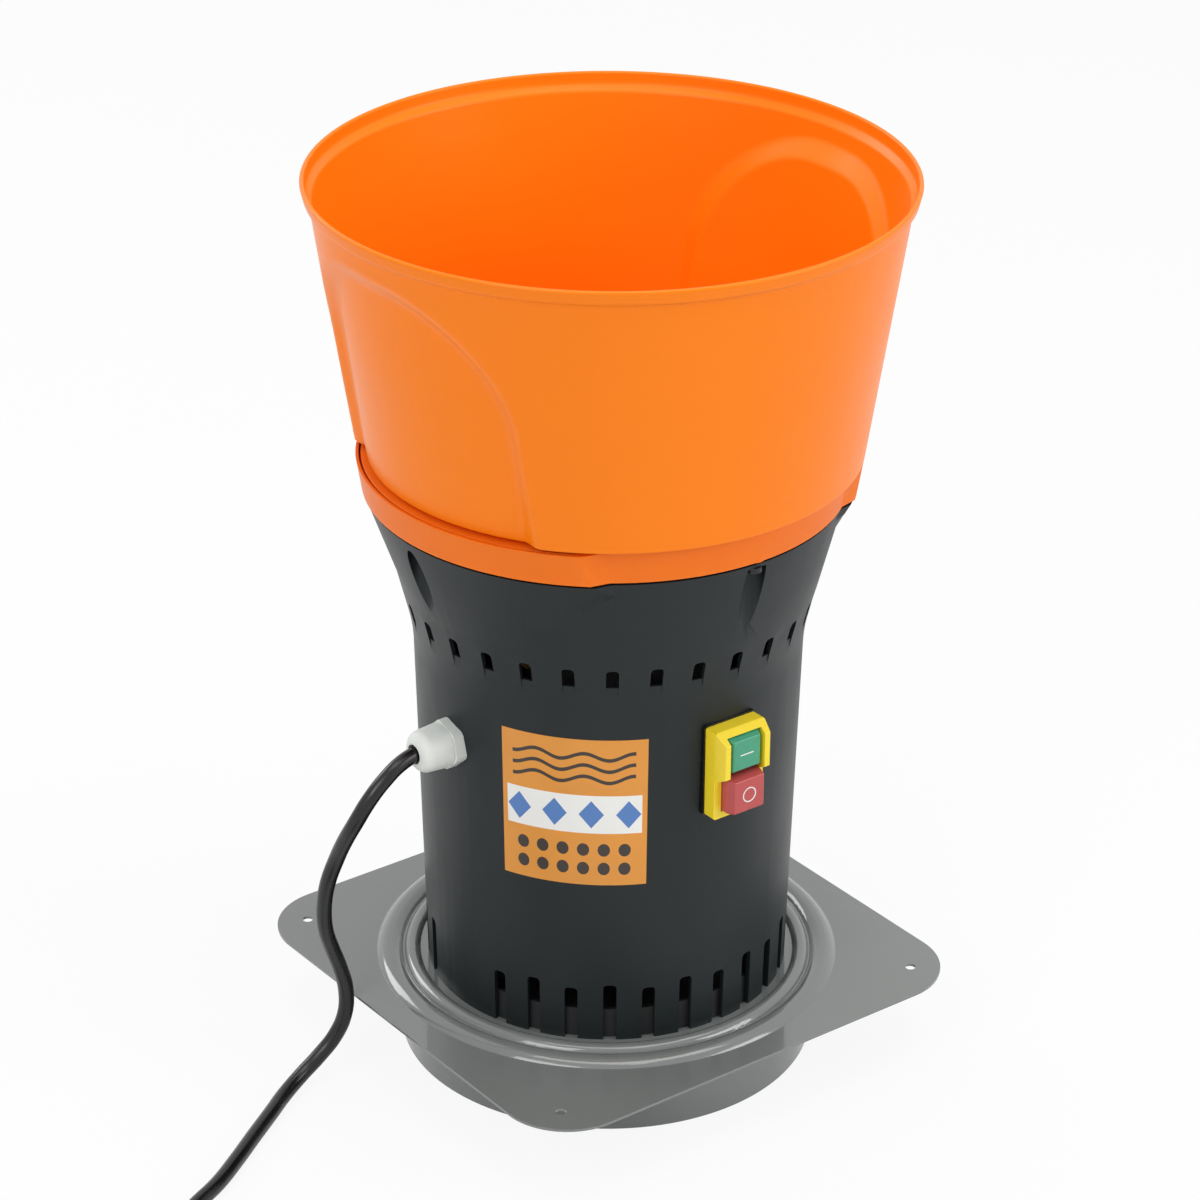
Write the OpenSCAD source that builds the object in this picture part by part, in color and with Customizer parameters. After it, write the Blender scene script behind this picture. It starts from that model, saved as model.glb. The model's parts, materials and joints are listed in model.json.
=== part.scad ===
// Electric grain mill: a turning hopper over a feed gate, a motor body and a milling chamber.
// Z is up and the skirt stands on z = 0. The shaft is the Z axis.
// The switch faces -Y, the cable gland -X, and the feed chute lies on the +Y side.

/* [Base] */
// Side of the square base plate
plate_side = 300; // [290:1:340]
// Corner radius of the base plate
plate_corner_r = 40; // [20:1:60]
// Thickness of the base plate
plate_t = 1.5; // [1:0.1:2.5]
// Spacing of the corner holes along a side
hole_spacing = 252; // [244:1:260]
// Diameter of the corner holes
hole_d = 6; // [4:0.5:9]
// Outer diameter of the skirt
skirt_d = 240; // [234:1:250]
// Height of the skirt
skirt_h = 48; // [44:1:60]
// Sheet thickness of the skirt and the sieve
sheet_t = 1.5; // [1:0.1:2]
// From the inner bead's crest out to the outer bead's crest
bead_pitch = 13; // [12.5:0.1:15]
// Width of the outer bead
outer_bead_w = 15; // [10:0.5:16]
// Height of the outer bead
outer_bead_h = 3.8; // [2.5:0.1:5]
// From the body's foot out to the inner bead's crest
bead_from_foot = 9.4; // [8:0.1:10.5]
// Width of the inner bead
inner_bead_w = 9.5; // [7:0.5:10]
// Height of the inner bead
inner_bead_h = 3.2; // [2.2:0.1:4]

/* [Milling chamber] */
// Height of the sieve above the skirt's lower edge
sieve_rise = 4.5; // [3.5:0.5:8]
// Diameter of the sieve's holes
sieve_hole_d = 7; // [3:0.5:9]
// Radial pitch of the rings of sieve holes
sieve_pitch = 15; // [12:0.5:16]
// Width of the flange that carries the sieve
sieve_flange_w = 13; // [11:0.5:15]
// Length of the knife
knife_l = 194; // [150:1:204]
// Width of the knife
knife_w = 34; // [24:1:44]
// Thickness of the knife
knife_t = 4; // [3:0.5:6]
// Height of the knife above the sieve flange
knife_rise = 13; // [12:0.5:18]

/* [Body] */
// Outer diameter of the body at its foot
body_base_d = 208.2; // [204:0.2:210]
// Outer diameter of the body at the neck
body_neck_d = 219.8; // [216:0.2:224]
// Height of the neck above the base plate
neck_h = 215.5; // [210:0.5:222]
// Height of the body above the base plate
body_h = 300.5; // [296:0.5:320]
// Top diameter of the flare between the pads
flare_d = 262.6; // [258:0.2:266]
// How far the two side pads stand out from the flare's top
pad_proud = 5; // [4:0.1:7]
// How far the side pads reach down at their middle
pad_h = 54.5; // [44:0.5:58]
// Half angle of each side pad
pad_half_angle = 51; // [44:1:56]
// Wall of the body
body_wall = 3; // [2.4:0.1:4]
// Radius of the bend between neck and flare
flare_bend_r = 110; // [60:5:140]
// Angle between neighbouring vents
vent_pitch = 12; // [12, 15, 18]
// Width of the upper vents
upper_vent_w = 7; // [5:0.5:9]
// Height of the upper vents
upper_vent_h = 12; // [9:0.5:15]
// Height of the upper vents above the base plate
upper_vent_rise = 228; // [224:1:232]
// Depth of the groove that runs down from each upper vent
vent_groove_d = 1; // [0.6:0.1:2]
// Length of that groove
vent_groove_l = 9; // [6:0.5:12]
// Width of the lower vents
lower_vent_w = 7.5; // [5:0.5:9]
// Height of the lower vents
lower_vent_h = 33.5; // [24:0.5:38]
// How much higher every other lower vent is
lower_vent_step = 2.8; // [0:0.2:4]
// Radius of the vents' upper corners
vent_corner_r = 2.4; // [1:0.1:2.4]
// Diameter of the screw channels in the flare
channel_d = 14; // [12:0.5:16]
// Distance of the screw channels' axes from the flare's top edge
channel_inset = 4.3; // [3.5:0.1:6]

/* [Feed ring] */
// Height of the feed ring
ring_h = 18.5; // [16:0.5:20]
// How far the feed ring's lower edge stands out from the body
ring_overhang = 0.6; // [0.2:0.1:1.2]
// How far the feed ring widens from its lower to its upper edge
ring_flare = 2; // [1:0.1:3]
// Thickness of the feed ring's floor
ring_floor_t = 4; // [3:0.5:6]
// Inner radius of the feed window
feed_r_in = 66; // [65:0.5:70]
// Outer radius of the feed window
feed_r_out = 95; // [88:0.5:95]
// Angle of the feed window
feed_angle = 36; // [24:1:38]
// Diameter of the hopper's pivot
pivot_d = 24; // [18:1:30]

/* [Hopper] */
// Height of the hopper
hopper_h = 159.5; // [150:0.5:180]
// How far the hopper's foot lies inside the flare's top
foot_inset = 2; // [1:0.1:3]
// How far the hopper's wall stands out from its foot
wall_proud = 11.2; // [10.5:0.1:12.5]
// Diameter of the wall just below the lip
hopper_top_d = 326; // [318:0.5:332]
// Height of the lip at the rim
lip_h = 9.8; // [7:0.2:14]
// How far the lip stands out from the wall
lip_out = 1.6; // [1:0.1:2.5]
// Wall of the hopper
hopper_wall = 3; // [2.4:0.1:3.6]
// Depth of the two arched hand recesses
recess_depth = 6.5; // [4:0.1:7]
// Width of a hand recess
recess_w = 172; // [150:1:176]
// Radius of the hand recess's upper corners
recess_corner_r = 74; // [55:1:76]
// Height of the recess's corner centres above the hopper's foot
recess_rise = 66; // [50:1:67]
// Width of the slope at the recess's sides
recess_side_w = 7.5; // [4:0.5:9]
// Width of the slope at the recess's top
recess_top_w = 12; // [4:0.5:14]
// Thickness of the gate disc
gate_t = 4; // [3:0.5:6]

/* [Motor] */
// Diameter of the motor shaft
shaft_d = 15; // [13:0.5:16]
// Outer diameter of the stator
stator_d = 120; // [110:1:122]
// Height of the stator
stator_h = 80; // [60:1:84]
// Diameter of the armature
armature_d = 58.8; // [50:0.2:62]
// Diameter of the commutator
commutator_d = 34; // [28:1:38]
// Diameter of the cooling fan
fan_d = 102; // [80:1:104]
// Height of the cooling fan
fan_h = 18; // [12:1:20]
// Number of fan blades
fan_blades = 11; // [7:1:15]
// Thickness of the motor deck
deck_t = 4; // [3:0.5:6]
// Height of the collar round the motor deck
collar_h = 18; // [14:1:22]

/* [Switch] */
// Width of the switch bezel
bezel_w = 34; // [32:0.5:40]
// Height of the switch bezel
bezel_h = 54; // [52:0.5:60]
// Depth of the bezel's lower frame
bezel_d = 8.5; // [6:0.5:10]
// Depth of the collar round the start button
bezel_collar_d = 16.2; // [13:0.1:18]
// Thickness of the gasket behind the bezel
gasket_t = 1.5; // [1:0.1:2.5]
// Height of the switch above the base plate
switch_rise = 169.5; // [160:0.5:174]
// Width of both buttons
button_w = 23; // [18:0.5:25]
// Height of the start button
start_h = 22.6; // [18:0.2:23]
// Height of the stop button
stop_h = 22; // [18:0.2:22]
// Travel of both buttons
button_travel = 3.5; // [2:0.5:4]

/* [Gland and cord] */
// Height of the cable gland above the base plate
gland_rise = 169.5; // [160:0.5:174]
// Width across the flats of the gland's hexagon
gland_af = 26; // [24:0.5:28]
// Thickness of the gland's hexagon
gland_hex_t = 6; // [4:0.5:7]
// Length of the gland's domed nut
gland_nut_l = 19; // [16:0.5:21]
// Diameter of the mains cord
cord_d = 9; // [7:0.1:9]
// Radius of the outermost loop of the put-away coil
coil_r = 55; // [52:0.5:58]
// Number of turns in the put-away coil
coil_turns = 3.25; // [3.25, 4.25]
// Length of the plug's body
plug_l = 40; // [34:1:48]

/* [Fits] */
// Radial clearance of running fits
run_gap = 0.05; // [0.02:0.01:0.1]
// Clearance between parts that turn or slide past each other
turn_gap = 0.3; // [0.25:0.05:0.5]
// Clearance between parts that are fixed together
fit_gap = 0.15; // [0.05:0.05:0.3]

/* [Hidden] */
$fn = 96;
EPS = 0.01;
CUT = 1;

// Heights, from the skirt's lower edge upwards
plate_top = skirt_h + plate_t;
flange_z = sieve_rise + sheet_t;
flange_top = flange_z + sheet_t;
knife_z = flange_top + knife_rise;
knife_top = knife_z + knife_t;
deck_top = plate_top + deck_t;
fan_rise = 8;
fan_room = 12;
lower_rim_h = 30;
upper_rim_h = 60;
commutator_rise = 22;
fan_z = deck_top + fan_rise;
bracket_t = 8;
lower_bracket_z = fan_z + fan_h + fan_room;
stator_z = lower_bracket_z + bracket_t + lower_rim_h;
stator_top = stator_z + stator_h;
upper_bracket_z = stator_top + upper_rim_h;
commutator_z = stator_top + commutator_rise;
commutator_h = 26;
brush_z = commutator_z + commutator_h / 2;
neck_z = plate_top + neck_h;
body_top = plate_top + body_h;
pad_z = body_top - pad_h;
ring_top = body_top + ring_h;
ring_floor_z = ring_top - ring_floor_t;
hopper_z = ring_top + turn_gap;
rim_z = hopper_z + hopper_h;
lip_z = rim_z - lip_h;
switch_z = plate_top + switch_rise;
gland_z = plate_top + gland_rise;

// Radii
skirt_r = skirt_d / 2;
base_r = body_base_d / 2;
neck_r = body_neck_d / 2;
flare_r = flare_d / 2;
pad_r = flare_r + pad_proud;
channel_r = flare_r - channel_inset;
ring_r = flare_r + ring_overhang;
ring_pad_r = pad_r + ring_overhang;
foot_r = flare_r - foot_inset;
low_r = foot_r + wall_proud;
top_r = hopper_top_d / 2;
deck_r = base_r - body_wall - fit_gap;
shaft_r = shaft_d / 2;
stator_r = stator_d / 2;
pivot_r = pivot_d / 2;
inner_bead_r = base_r + bead_from_foot;
outer_bead_r = inner_bead_r + bead_pitch;

// Fasteners
screw_r = 2.2;
screw_head_r = 4.4;
screw_head_h = 3;
sieve_screw_r = 2;
sieve_boss_r = 4.5;
sieve_boss_h = 3;
sieve_screw_at = skirt_r - sheet_t - sieve_flange_w / 2;
body_boss_r = 6.5;
body_boss_h = 24;
screw_bite = 14;
screw_spare = 5;
channel_run = 20;
body_boss_at = base_r - body_wall - 11;
post_r = 7;
post_at = stator_r + 2;
body_flange_t = 4;
body_flange_r = channel_r - 11;

// Width of the slanted step at each end of a pad, as an angle
pad_slant = 4.4;
// Least height of a pad, at its ends
pad_end_h = 4;
PAD_STEPS = 30;
// Shadow gap between body and feed ring
seam_h = 1.6;
seam_d = 2;
// Outline of the ring's groove behind the lip of each pad
groove_w = 1.2;
groove_depth = 6;
lip_t = 1.8;

// Milling and motor pieces
hub_r = 16;
hub_h = 16;
stud_r = 5;
washer_t = 2;
nut_h = 8;
knife_nut_af = 17;
bearing_r = 17.5;
bearing_w = 11;
top_journal_r = shaft_r - 1.5;
top_bearing_r = 16;
top_bearing_w = 10;
seal_r = 17;
rim_t = 6;
air_gap = 0.8;
coil_slot_angle = 26;
pole_half_angle = 52;
coil_r_in = armature_d / 2 + air_gap + 2;
coil_r_out = stator_r - 13;
coil_overhang = 14;
brush_w = 9.6;
brush_h = 11.6;
holder_wall = 2;
chute_wall = 2;
chute_spread = 1;
bolt_r = 2.5;
bolt_at = stator_r - 5;

// Hopper pieces
gate_rim_w = 11;
gate_flange_t = 3;
gate_seat_w = 12;
gate_hole_r = foot_r - hopper_wall - gate_seat_w;
gate_screw_at = gate_hole_r + gate_rim_w / 2;
proud_edge_h = 2;
edge_round = 1.2;
wall_z = hopper_z + proud_edge_h + edge_round;
RECESS_STEPS = 10;
pivot_h = gate_t + 2 * turn_gap;
pivot_washer_r = pivot_r + 6;
pivot_screw_r = 4;

// Switch pieces, on the front of the body at the switch's height
switch_r = body_r(switch_z);
opening_w = button_w + 2 * turn_gap;
button_split = 1.8;
opening_h = start_h + stop_h + button_split + 2 * turn_gap;
stop_low = -opening_h / 2 + turn_gap + 0.5;
start_low = stop_low + stop_h + button_split;
opening_low = stop_low - turn_gap;
button_root = 3;
block_wall = 2.2;
block_depth = 34;
collar_slope = 5.6;
collar_draft = 1.6;
collar_end = -0.5;
button_draft_l = 6;
start_draft_w = 2.2;
stop_draft_w = 1.2;
stop_proud = 1.9;

// Gland pieces, on the left of the body at the gland's height
gland_r = body_r(gland_z);
gland_stem_r = gland_af / 2 - 2.2;
gland_bore_r = cord_d / 2 + 0.7;
gland_nut_r = gland_af / 2;
gland_dome_r = 7;
gland_taper = 0.8;
gland_flat = 0.3;
gland_groove = 0.7;
gland_turn = 12;
gland_corner = 0.7;
gland_seal_l = 8;
locknut_t = 5;
locknut_gap = 1;

// Cord: points chosen by hand from the gland down to the floor and out to the coil
cord_r = cord_d / 2;
CORD_SIDES = 8;
cord_route = [
    [-112, 0, 219], [-122, 0, 219], [-131, 0, 219], [-142.6, -0.7, 216.6], [-154, -1.5, 210.4],
    [-164, -0.4, 200.1], [-170.6, 3.5, 186.6], [-173, 10.7, 172.9], [-173.8, 18.4, 158.3],
    [-176.9, 23.5, 141.4], [-176.9, 28, 123.7], [-174, 31.9, 106.1], [-167.9, 35.6, 90],
    [-161.1, 38.2, 73.1], [-156.6, 39.4, 55.5], [-157.8, 39.3, 40.5], [-163.8, 40.9, 26.9],
    [-174.1, 42.5, 16.2], [-187.1, 41.3, 9], [-202.9, 35, 5], [-219, 24.2, 4.6], [-239.1, 10.7, 4.5],
    [-259.5, -3.4, 4.5], [-280.4, -16.7, 4.5], [-303.1, -27.8, 4.5], [-324, -41, 4.5], [-344, -54, 4.9]
];

// Put-away coil: it turns left from the cord's last heading
COIL_SIDES = 6;
COIL_STEPS = 24;
coil_at = [-340, -116];
coil_heading = 212;
coil_pitch = cord_d + 1;
coil_lift = cord_d + 0.8;
tie_t = 0.9;
tie_w = 14;
tie_gap = 0.6;
coil_z = cord_r + tie_t + 0.3;
coil_lead = cord_d;
coil_ahead = [cos(coil_heading), sin(coil_heading), 0];
coil_left = [-sin(coil_heading), cos(coil_heading), 0];
coil_start = [coil_at.x, coil_at.y, coil_z] - coil_r * coil_left;
climb_from = (coil_turns - 0.5) / 2;

// Plug, lying beside the coil on the heading that the coil ends with
plug_heading = coil_heading + 360 * coil_turns;
plug_z = coil_z + coil_lift;
plug_relief_l = 24;
plug_half_w = 18.5;
plug_pin_r = 2.4;
plug_pin_l = 19;
plug_pin_gap = 19;

// Outer radius of the body's straight part at a height
function body_r(z) = base_r + (neck_r - base_r) * (z - plate_top) / neck_h;

// Outer radius of the flare between the pads at a height
function flare_at(z) = neck_r + (flare_r - neck_r) * (z - neck_z) / (body_top - neck_z);

function unit(v) = v / norm(v);

// Points of a round bend of radius r at the corner b of the path a, b, c
function bend(a, b, c, r, steps = 6) =
    let (u = unit(a - b))
    let (v = unit(c - b))
    let (half = acos(u * v) / 2)
    let (centre = b + unit(u + v) * r / sin(half))
    let (from = b + u * r / tan(half) - centre)
    let (to = b + v * r / tan(half) - centre)
    let (turn = 180 - 2 * half)
    [
        for (i = [0:steps])
            let (k = i / steps)
            centre + (from * sin((1 - k) * turn) + to * sin(k * turn)) / sin(turn)
    ];

module ring_copies(count, radius, start = 0) {
    for (i = [0:count - 1]) rotate(start + i * 360 / count) translate([radius, 0, 0]) children();
}

// Solid of revolution between two heights, with a radius at each
module cone_solid(z0, r0, z1, r1) {
    rotate_extrude() polygon([[0, z0], [r0, z0], [r1, z1], [0, z1]]);
}

module disc(z, r, t) {
    translate([0, 0, z]) cylinder(r = r, h = t);
}

module tube(z, r_out, r_in, h) {
    difference() {
        disc(z, r_out, h);
        disc(z - CUT, r_in, h + 2 * CUT);
    }
}

module hexagon(af, t) {
    cylinder(r = af / 2 / cos(30), h = t, $fn = 6);
}

// Flat sector of a ring, centred on the +Y side
module feed_sector(r_in, r_out, half) {
    reach = 2 * r_out;
    intersection() {
        difference() {
            circle(r_out);
            circle(r_in);
        }
        polygon([[0, 0], [reach * sin(half), reach * cos(half)], [-reach * sin(half), reach * cos(half)]]);
    }
}

// Flat sector of a ring from one angle to another, under 180 degrees apart
module arc_sector(r_in, r_out, from, to) {
    reach = 2 * r_out;
    mid = (from + to) / 2;
    intersection() {
        difference() {
            circle(r_out);
            circle(r_in);
        }
        polygon([
            [0, 0], [reach * cos(from), reach * sin(from)],
            [reach * cos(mid), reach * sin(mid)], [reach * cos(to), reach * sin(to)]
        ]);
    }
}

module rounded_square(side, r) {
    flat = side - 2 * r;
    square([side, flat], center = true);
    square([flat, side], center = true);
    for (x = [-1, 1], y = [-1, 1]) translate([x * flat / 2, y * flat / 2]) circle(r);
}

module rounded_rect(w, h, r) {
    square([w, h - 2 * r], center = true);
    square([w - 2 * r, h], center = true);
    for (x = [-1, 1], y = [-1, 1]) translate([x * (w / 2 - r), y * (h / 2 - r)]) circle(r);
}

// Cap screw with its head below z = 0 and its shank above
module screw(shank_r, length, head_r, head_h) {
    cylinder(r = shank_r, h = length);
    translate([0, 0, -head_h]) cylinder(r = head_r, h = head_h);
}

// Base plate

// Section of a formed bead in the sheet, with the sheet's upper face at y = 0
module bead_section(crest_r, width, height) {
    half = width / 2;
    arc_r = (half * half + height * height) / (2 * height);
    intersection() {
        translate([crest_r, height - arc_r]) difference() {
            circle(arc_r);
            circle(arc_r - plate_t);
        }
        translate([crest_r - half, -plate_t]) square([width, height + plate_t]);
    }
}

module bead_gap(crest_r, width) {
    tube(-CUT, crest_r + width / 2, crest_r - width / 2, plate_t + 2 * CUT);
}

module base_plate() color([0.46, 0.48, 0.48]) {
    translate([0, 0, skirt_h]) difference() {
        union() {
            difference() {
                linear_extrude(plate_t) rounded_square(plate_side, plate_corner_r);
                bead_gap(outer_bead_r, outer_bead_w);
                bead_gap(inner_bead_r, inner_bead_w);
            }
            translate([0, 0, plate_t]) rotate_extrude() {
                bead_section(outer_bead_r, outer_bead_w, outer_bead_h);
                bead_section(inner_bead_r, inner_bead_w, inner_bead_h);
            }
        }
        for (x = [-1, 1], y = [-1, 1])
            translate([x * hole_spacing / 2, y * hole_spacing / 2, -CUT])
                cylinder(d = hole_d, h = plate_t + 2 * CUT);
        disc(-CUT, seal_r + 3, plate_t + 2 * CUT);
        translate([0, 0, -CUT]) linear_extrude(plate_t + 2 * CUT)
            feed_sector(feed_r_in, feed_r_out, feed_angle / 2);
        ring_copies(4, post_at, 45) disc(-CUT, screw_r + fit_gap, plate_t + 2 * CUT);
        ring_copies(2, body_boss_at) disc(-CUT, screw_r + fit_gap, plate_t + 2 * CUT);
    }
}

// Milling chamber

module chamber_skirt() color([0.47, 0.49, 0.49]) {
    tube(0, skirt_r, skirt_r - sheet_t, skirt_h);
}

// Flat ring welded into the skirt, as wide as the sieve's flange
module skirt_ring(z) {
    tube(z, skirt_r - sheet_t, skirt_r - sheet_t - sieve_flange_w, sheet_t);
}

module skirt_flange() color([0.48, 0.5, 0.5]) {
    skirt_ring(skirt_h - sheet_t);
}

module sieve_flange() color([0.48, 0.5, 0.5]) {
    difference() {
        union() {
            skirt_ring(flange_z);
            ring_copies(4, sieve_screw_at, 45) disc(flange_z, sieve_boss_r, sheet_t + sieve_boss_h);
        }
        ring_copies(4, sieve_screw_at, 45)
            disc(flange_z - CUT, sieve_screw_r + fit_gap, sheet_t + sieve_boss_h + 2 * CUT);
    }
}

module sieve() color([0.66, 0.67, 0.68]) {
    sieve_r = skirt_r - sheet_t - 2 * fit_gap;
    rings = floor((skirt_r - sheet_t - sieve_flange_w - sieve_hole_d / 2 - 2) / sieve_pitch);
    difference() {
        disc(sieve_rise, sieve_r, sheet_t);
        for (k = [1:rings]) ring_copies(6 * k, k * sieve_pitch)
            disc(sieve_rise - CUT, sieve_hole_d / 2, sheet_t + 2 * CUT);
        ring_copies(4, sieve_screw_at, 45)
            disc(sieve_rise - CUT, sieve_screw_r + fit_gap, sheet_t + 2 * CUT);
    }
}

module sieve_screws() color("silver") {
    ring_copies(4, sieve_screw_at, 45) translate([0, 0, sieve_rise])
        screw(sieve_screw_r, 2 * sheet_t + sieve_boss_h, 3.6, 2.2);
}

module knife_hub() color([0.6, 0.61, 0.62]) {
    difference() {
        disc(knife_top, hub_r, hub_h);
        disc(knife_top - CUT, stud_r + run_gap, hub_h);
        disc(knife_top + washer_t, shaft_r + run_gap, hub_h);
    }
}

module knife() color([0.68, 0.69, 0.7]) {
    edge = knife_w / 4;
    difference() {
        intersection() {
            translate([0, 0, knife_z]) linear_extrude(knife_t) square([knife_l, knife_w], center = true);
            disc(knife_z - CUT, knife_l / 2, knife_t + 2 * CUT);
        }
        disc(knife_z - CUT, stud_r + run_gap, knife_t + 2 * CUT);
        for (side = [0, 180]) rotate(side)
            translate([hub_r + 8, -knife_w / 2, knife_top]) rotate([0, 90, 0])
                linear_extrude(knife_l) polygon([[-CUT, -CUT], [knife_t - 1, -CUT], [-CUT, edge]]);
    }
}

module knife_washer() color("gainsboro") {
    tube(knife_z - washer_t, stud_r + 7, stud_r + run_gap, washer_t);
}

module knife_nut() color("silver") {
    translate([0, 0, knife_z - washer_t - nut_h]) difference() {
        hexagon(knife_nut_af, nut_h);
        disc(-CUT, stud_r + run_gap, nut_h + 2 * CUT);
    }
}

// Motor

module motor_deck() color([0.16, 0.17, 0.18]) {
    difference() {
        union() {
            disc(plate_top, deck_r, deck_t);
            tube(plate_top, deck_r, deck_r - 2.5, collar_h);
        }
        disc(plate_top - CUT, seal_r + fit_gap, deck_t + 2 * CUT);
        translate([0, 0, plate_top - CUT]) linear_extrude(deck_t + 2 * CUT)
            feed_sector(feed_r_in, feed_r_out, feed_angle / 2);
        ring_copies(4, post_at, 45) disc(plate_top - CUT, screw_r + fit_gap, deck_t + 2 * CUT);
        ring_copies(2, body_boss_at) disc(plate_top - CUT, screw_r + fit_gap, deck_t + 2 * CUT);
    }
}

module deck_screws() color("silver") {
    ring_copies(4, post_at, 45) translate([0, 0, skirt_h])
        screw(screw_r, plate_t + deck_t + screw_bite, screw_head_r, screw_head_h);
}

module shaft_seal() color([0.1, 0.1, 0.1]) {
    tube(plate_top, seal_r, shaft_r + run_gap, deck_t + 2);
}

module shaft() color("lightgray") {
    shoulder = knife_top + washer_t;
    nut_low = knife_z - washer_t - nut_h;
    disc(nut_low - 2, stud_r, shoulder - nut_low + 2 + EPS);
    disc(shoulder, shaft_r, upper_bracket_z - 8 - shoulder);
    disc(upper_bracket_z - 8 - EPS, top_journal_r, bracket_t + 10);
}

module bracket_bearing_bore(z, r) {
    disc(z - CUT, r + run_gap, bearing_w + 2 * CUT);
}

module lower_bracket() color([0.72, 0.73, 0.74]) {
    rim_z0 = lower_bracket_z + bracket_t;
    difference() {
        union() {
            disc(lower_bracket_z, stator_r, bracket_t);
            disc(lower_bracket_z, bearing_r + 5, bearing_w);
            tube(rim_z0 - EPS, stator_r, stator_r - rim_t, stator_z - rim_z0 + EPS);
            ring_copies(4, post_at, 45) disc(deck_top, post_r, lower_bracket_z + bracket_t - deck_top);
        }
        bracket_bearing_bore(lower_bracket_z, bearing_r);
        ring_copies(6, stator_r * 0.62, 15) disc(lower_bracket_z - CUT, 9, bracket_t + 2 * CUT);
        ring_copies(4, post_at, 45) disc(deck_top - CUT, screw_r + fit_gap, 16);
        ring_copies(4, bolt_at, 45) disc(lower_bracket_z - CUT, bolt_r + fit_gap, stator_h);
    }
}

module upper_bracket() color([0.72, 0.73, 0.74]) {
    difference() {
        union() {
            tube(stator_top, stator_r, stator_r - rim_t, upper_bracket_z - stator_top + EPS);
            disc(upper_bracket_z, stator_r, bracket_t);
            disc(upper_bracket_z - 2, top_bearing_r + 5, top_bearing_w);
        }
        disc(upper_bracket_z - 2 - CUT, top_bearing_r + run_gap, top_bearing_w + 2 * CUT);
        ring_copies(6, stator_r * 0.62, 15) disc(upper_bracket_z - CUT, 9, bracket_t + 2 * CUT);
        ring_copies(4, bolt_at, 45)
            disc(stator_top - CUT, bolt_r + fit_gap, upper_bracket_z - stator_top + bracket_t + 2 * CUT);
        ring_copies(2, stator_r - rim_t / 2) translate([0, 0, brush_z])
            cube([3 * rim_t, holder_w() + 2 * fit_gap, holder_h() + 2 * fit_gap], center = true);
    }
}

module motor_bolts() color("silver") {
    length = upper_bracket_z + bracket_t - lower_bracket_z;
    ring_copies(4, bolt_at, 45) translate([0, 0, upper_bracket_z + bracket_t]) mirror([0, 0, 1])
        screw(bolt_r, length, 4, 4);
}

module lower_bearing() color("gainsboro") {
    tube(lower_bracket_z, bearing_r, shaft_r + run_gap, bearing_w);
}

module upper_bearing() color("gainsboro") {
    tube(upper_bracket_z - 2, top_bearing_r, top_journal_r + run_gap, top_bearing_w);
}

// The two field coils sit in slots of the core, each round one pole
module coil_slots(grow) {
    for (pole = [0, 180], side = [-1, 1])
        arc_sector(
            coil_r_in - grow, coil_r_out + grow,
            pole + 90 + side * pole_half_angle - coil_slot_angle / 2 - grow,
            pole + 90 + side * pole_half_angle + coil_slot_angle / 2 + grow
        );
}

module stator_core() color([0.42, 0.43, 0.45]) {
    translate([0, 0, stator_z]) linear_extrude(stator_h) difference() {
        circle(stator_r);
        circle(armature_d / 2 + air_gap);
        coil_slots(0.3);
        ring_copies(4, bolt_at, 45) circle(bolt_r + fit_gap);
    }
}

module field_coils() color([0.72, 0.4, 0.2]) {
    low = stator_z - coil_overhang;
    span = pole_half_angle + coil_slot_angle / 2;
    translate([0, 0, low]) linear_extrude(stator_h + 2 * coil_overhang) coil_slots(0);
    for (pole = [90, 270], z = [low, stator_top + 0.5])
        translate([0, 0, z]) linear_extrude(coil_overhang - 0.5)
            arc_sector(coil_r_in, coil_r_out, pole - span, pole + span);
}

module armature_core() color([0.4, 0.41, 0.43]) {
    translate([0, 0, stator_z]) linear_extrude(stator_h) difference() {
        circle(armature_d / 2);
        circle(shaft_r + run_gap);
        ring_copies(12, armature_d / 2) square([9, 2.4], center = true);
    }
}

module armature_winding() color([0.75, 0.43, 0.22]) {
    head = 13;
    for (z = [stator_z - head, stator_top]) difference() {
        disc(z, armature_d / 2 - 4, head);
        disc(z - CUT, shaft_r + run_gap, head + 2 * CUT);
    }
}

module commutator() color([0.78, 0.5, 0.3]) {
    tube(commutator_z, commutator_d / 2, shaft_r + run_gap, commutator_h);
}

function holder_w() = brush_w + 2 * holder_wall + 2 * fit_gap;
function holder_h() = brush_h + 2 * holder_wall + 2 * fit_gap;

module brush_holders() color([0.76, 0.62, 0.3]) {
    inner = commutator_d / 2 + 4;
    length = stator_r + 2 - inner;
    ring_copies(2, inner + length / 2) translate([0, 0, brush_z]) difference() {
        cube([length, holder_w(), holder_h()], center = true);
        translate([-holder_wall, 0, 0])
            cube([length, brush_w + 2 * fit_gap, brush_h + 2 * fit_gap], center = true);
    }
}

module brushes() color([0.13, 0.13, 0.14]) {
    length = 24;
    ring_copies(2, commutator_d / 2 + turn_gap + length / 2) translate([0, 0, brush_z])
        cube([length, brush_w, brush_h], center = true);
}

module cooling_fan() color([0.22, 0.23, 0.24]) {
    fan_hub_r = shaft_r + 6;
    disc_t = 2.5;
    difference() {
        union() {
            disc(fan_z, fan_hub_r, fan_h);
            disc(fan_z + fan_h - disc_t, fan_d / 2, disc_t);
            for (i = [0:fan_blades - 1]) rotate(i * 360 / fan_blades)
                translate([fan_hub_r - 1, -1, fan_z])
                    cube([fan_d / 2 - fan_hub_r, 2, fan_h - disc_t + EPS]);
        }
        disc(fan_z - CUT, shaft_r + run_gap, fan_h + 2 * CUT);
    }
}

// Body

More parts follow.
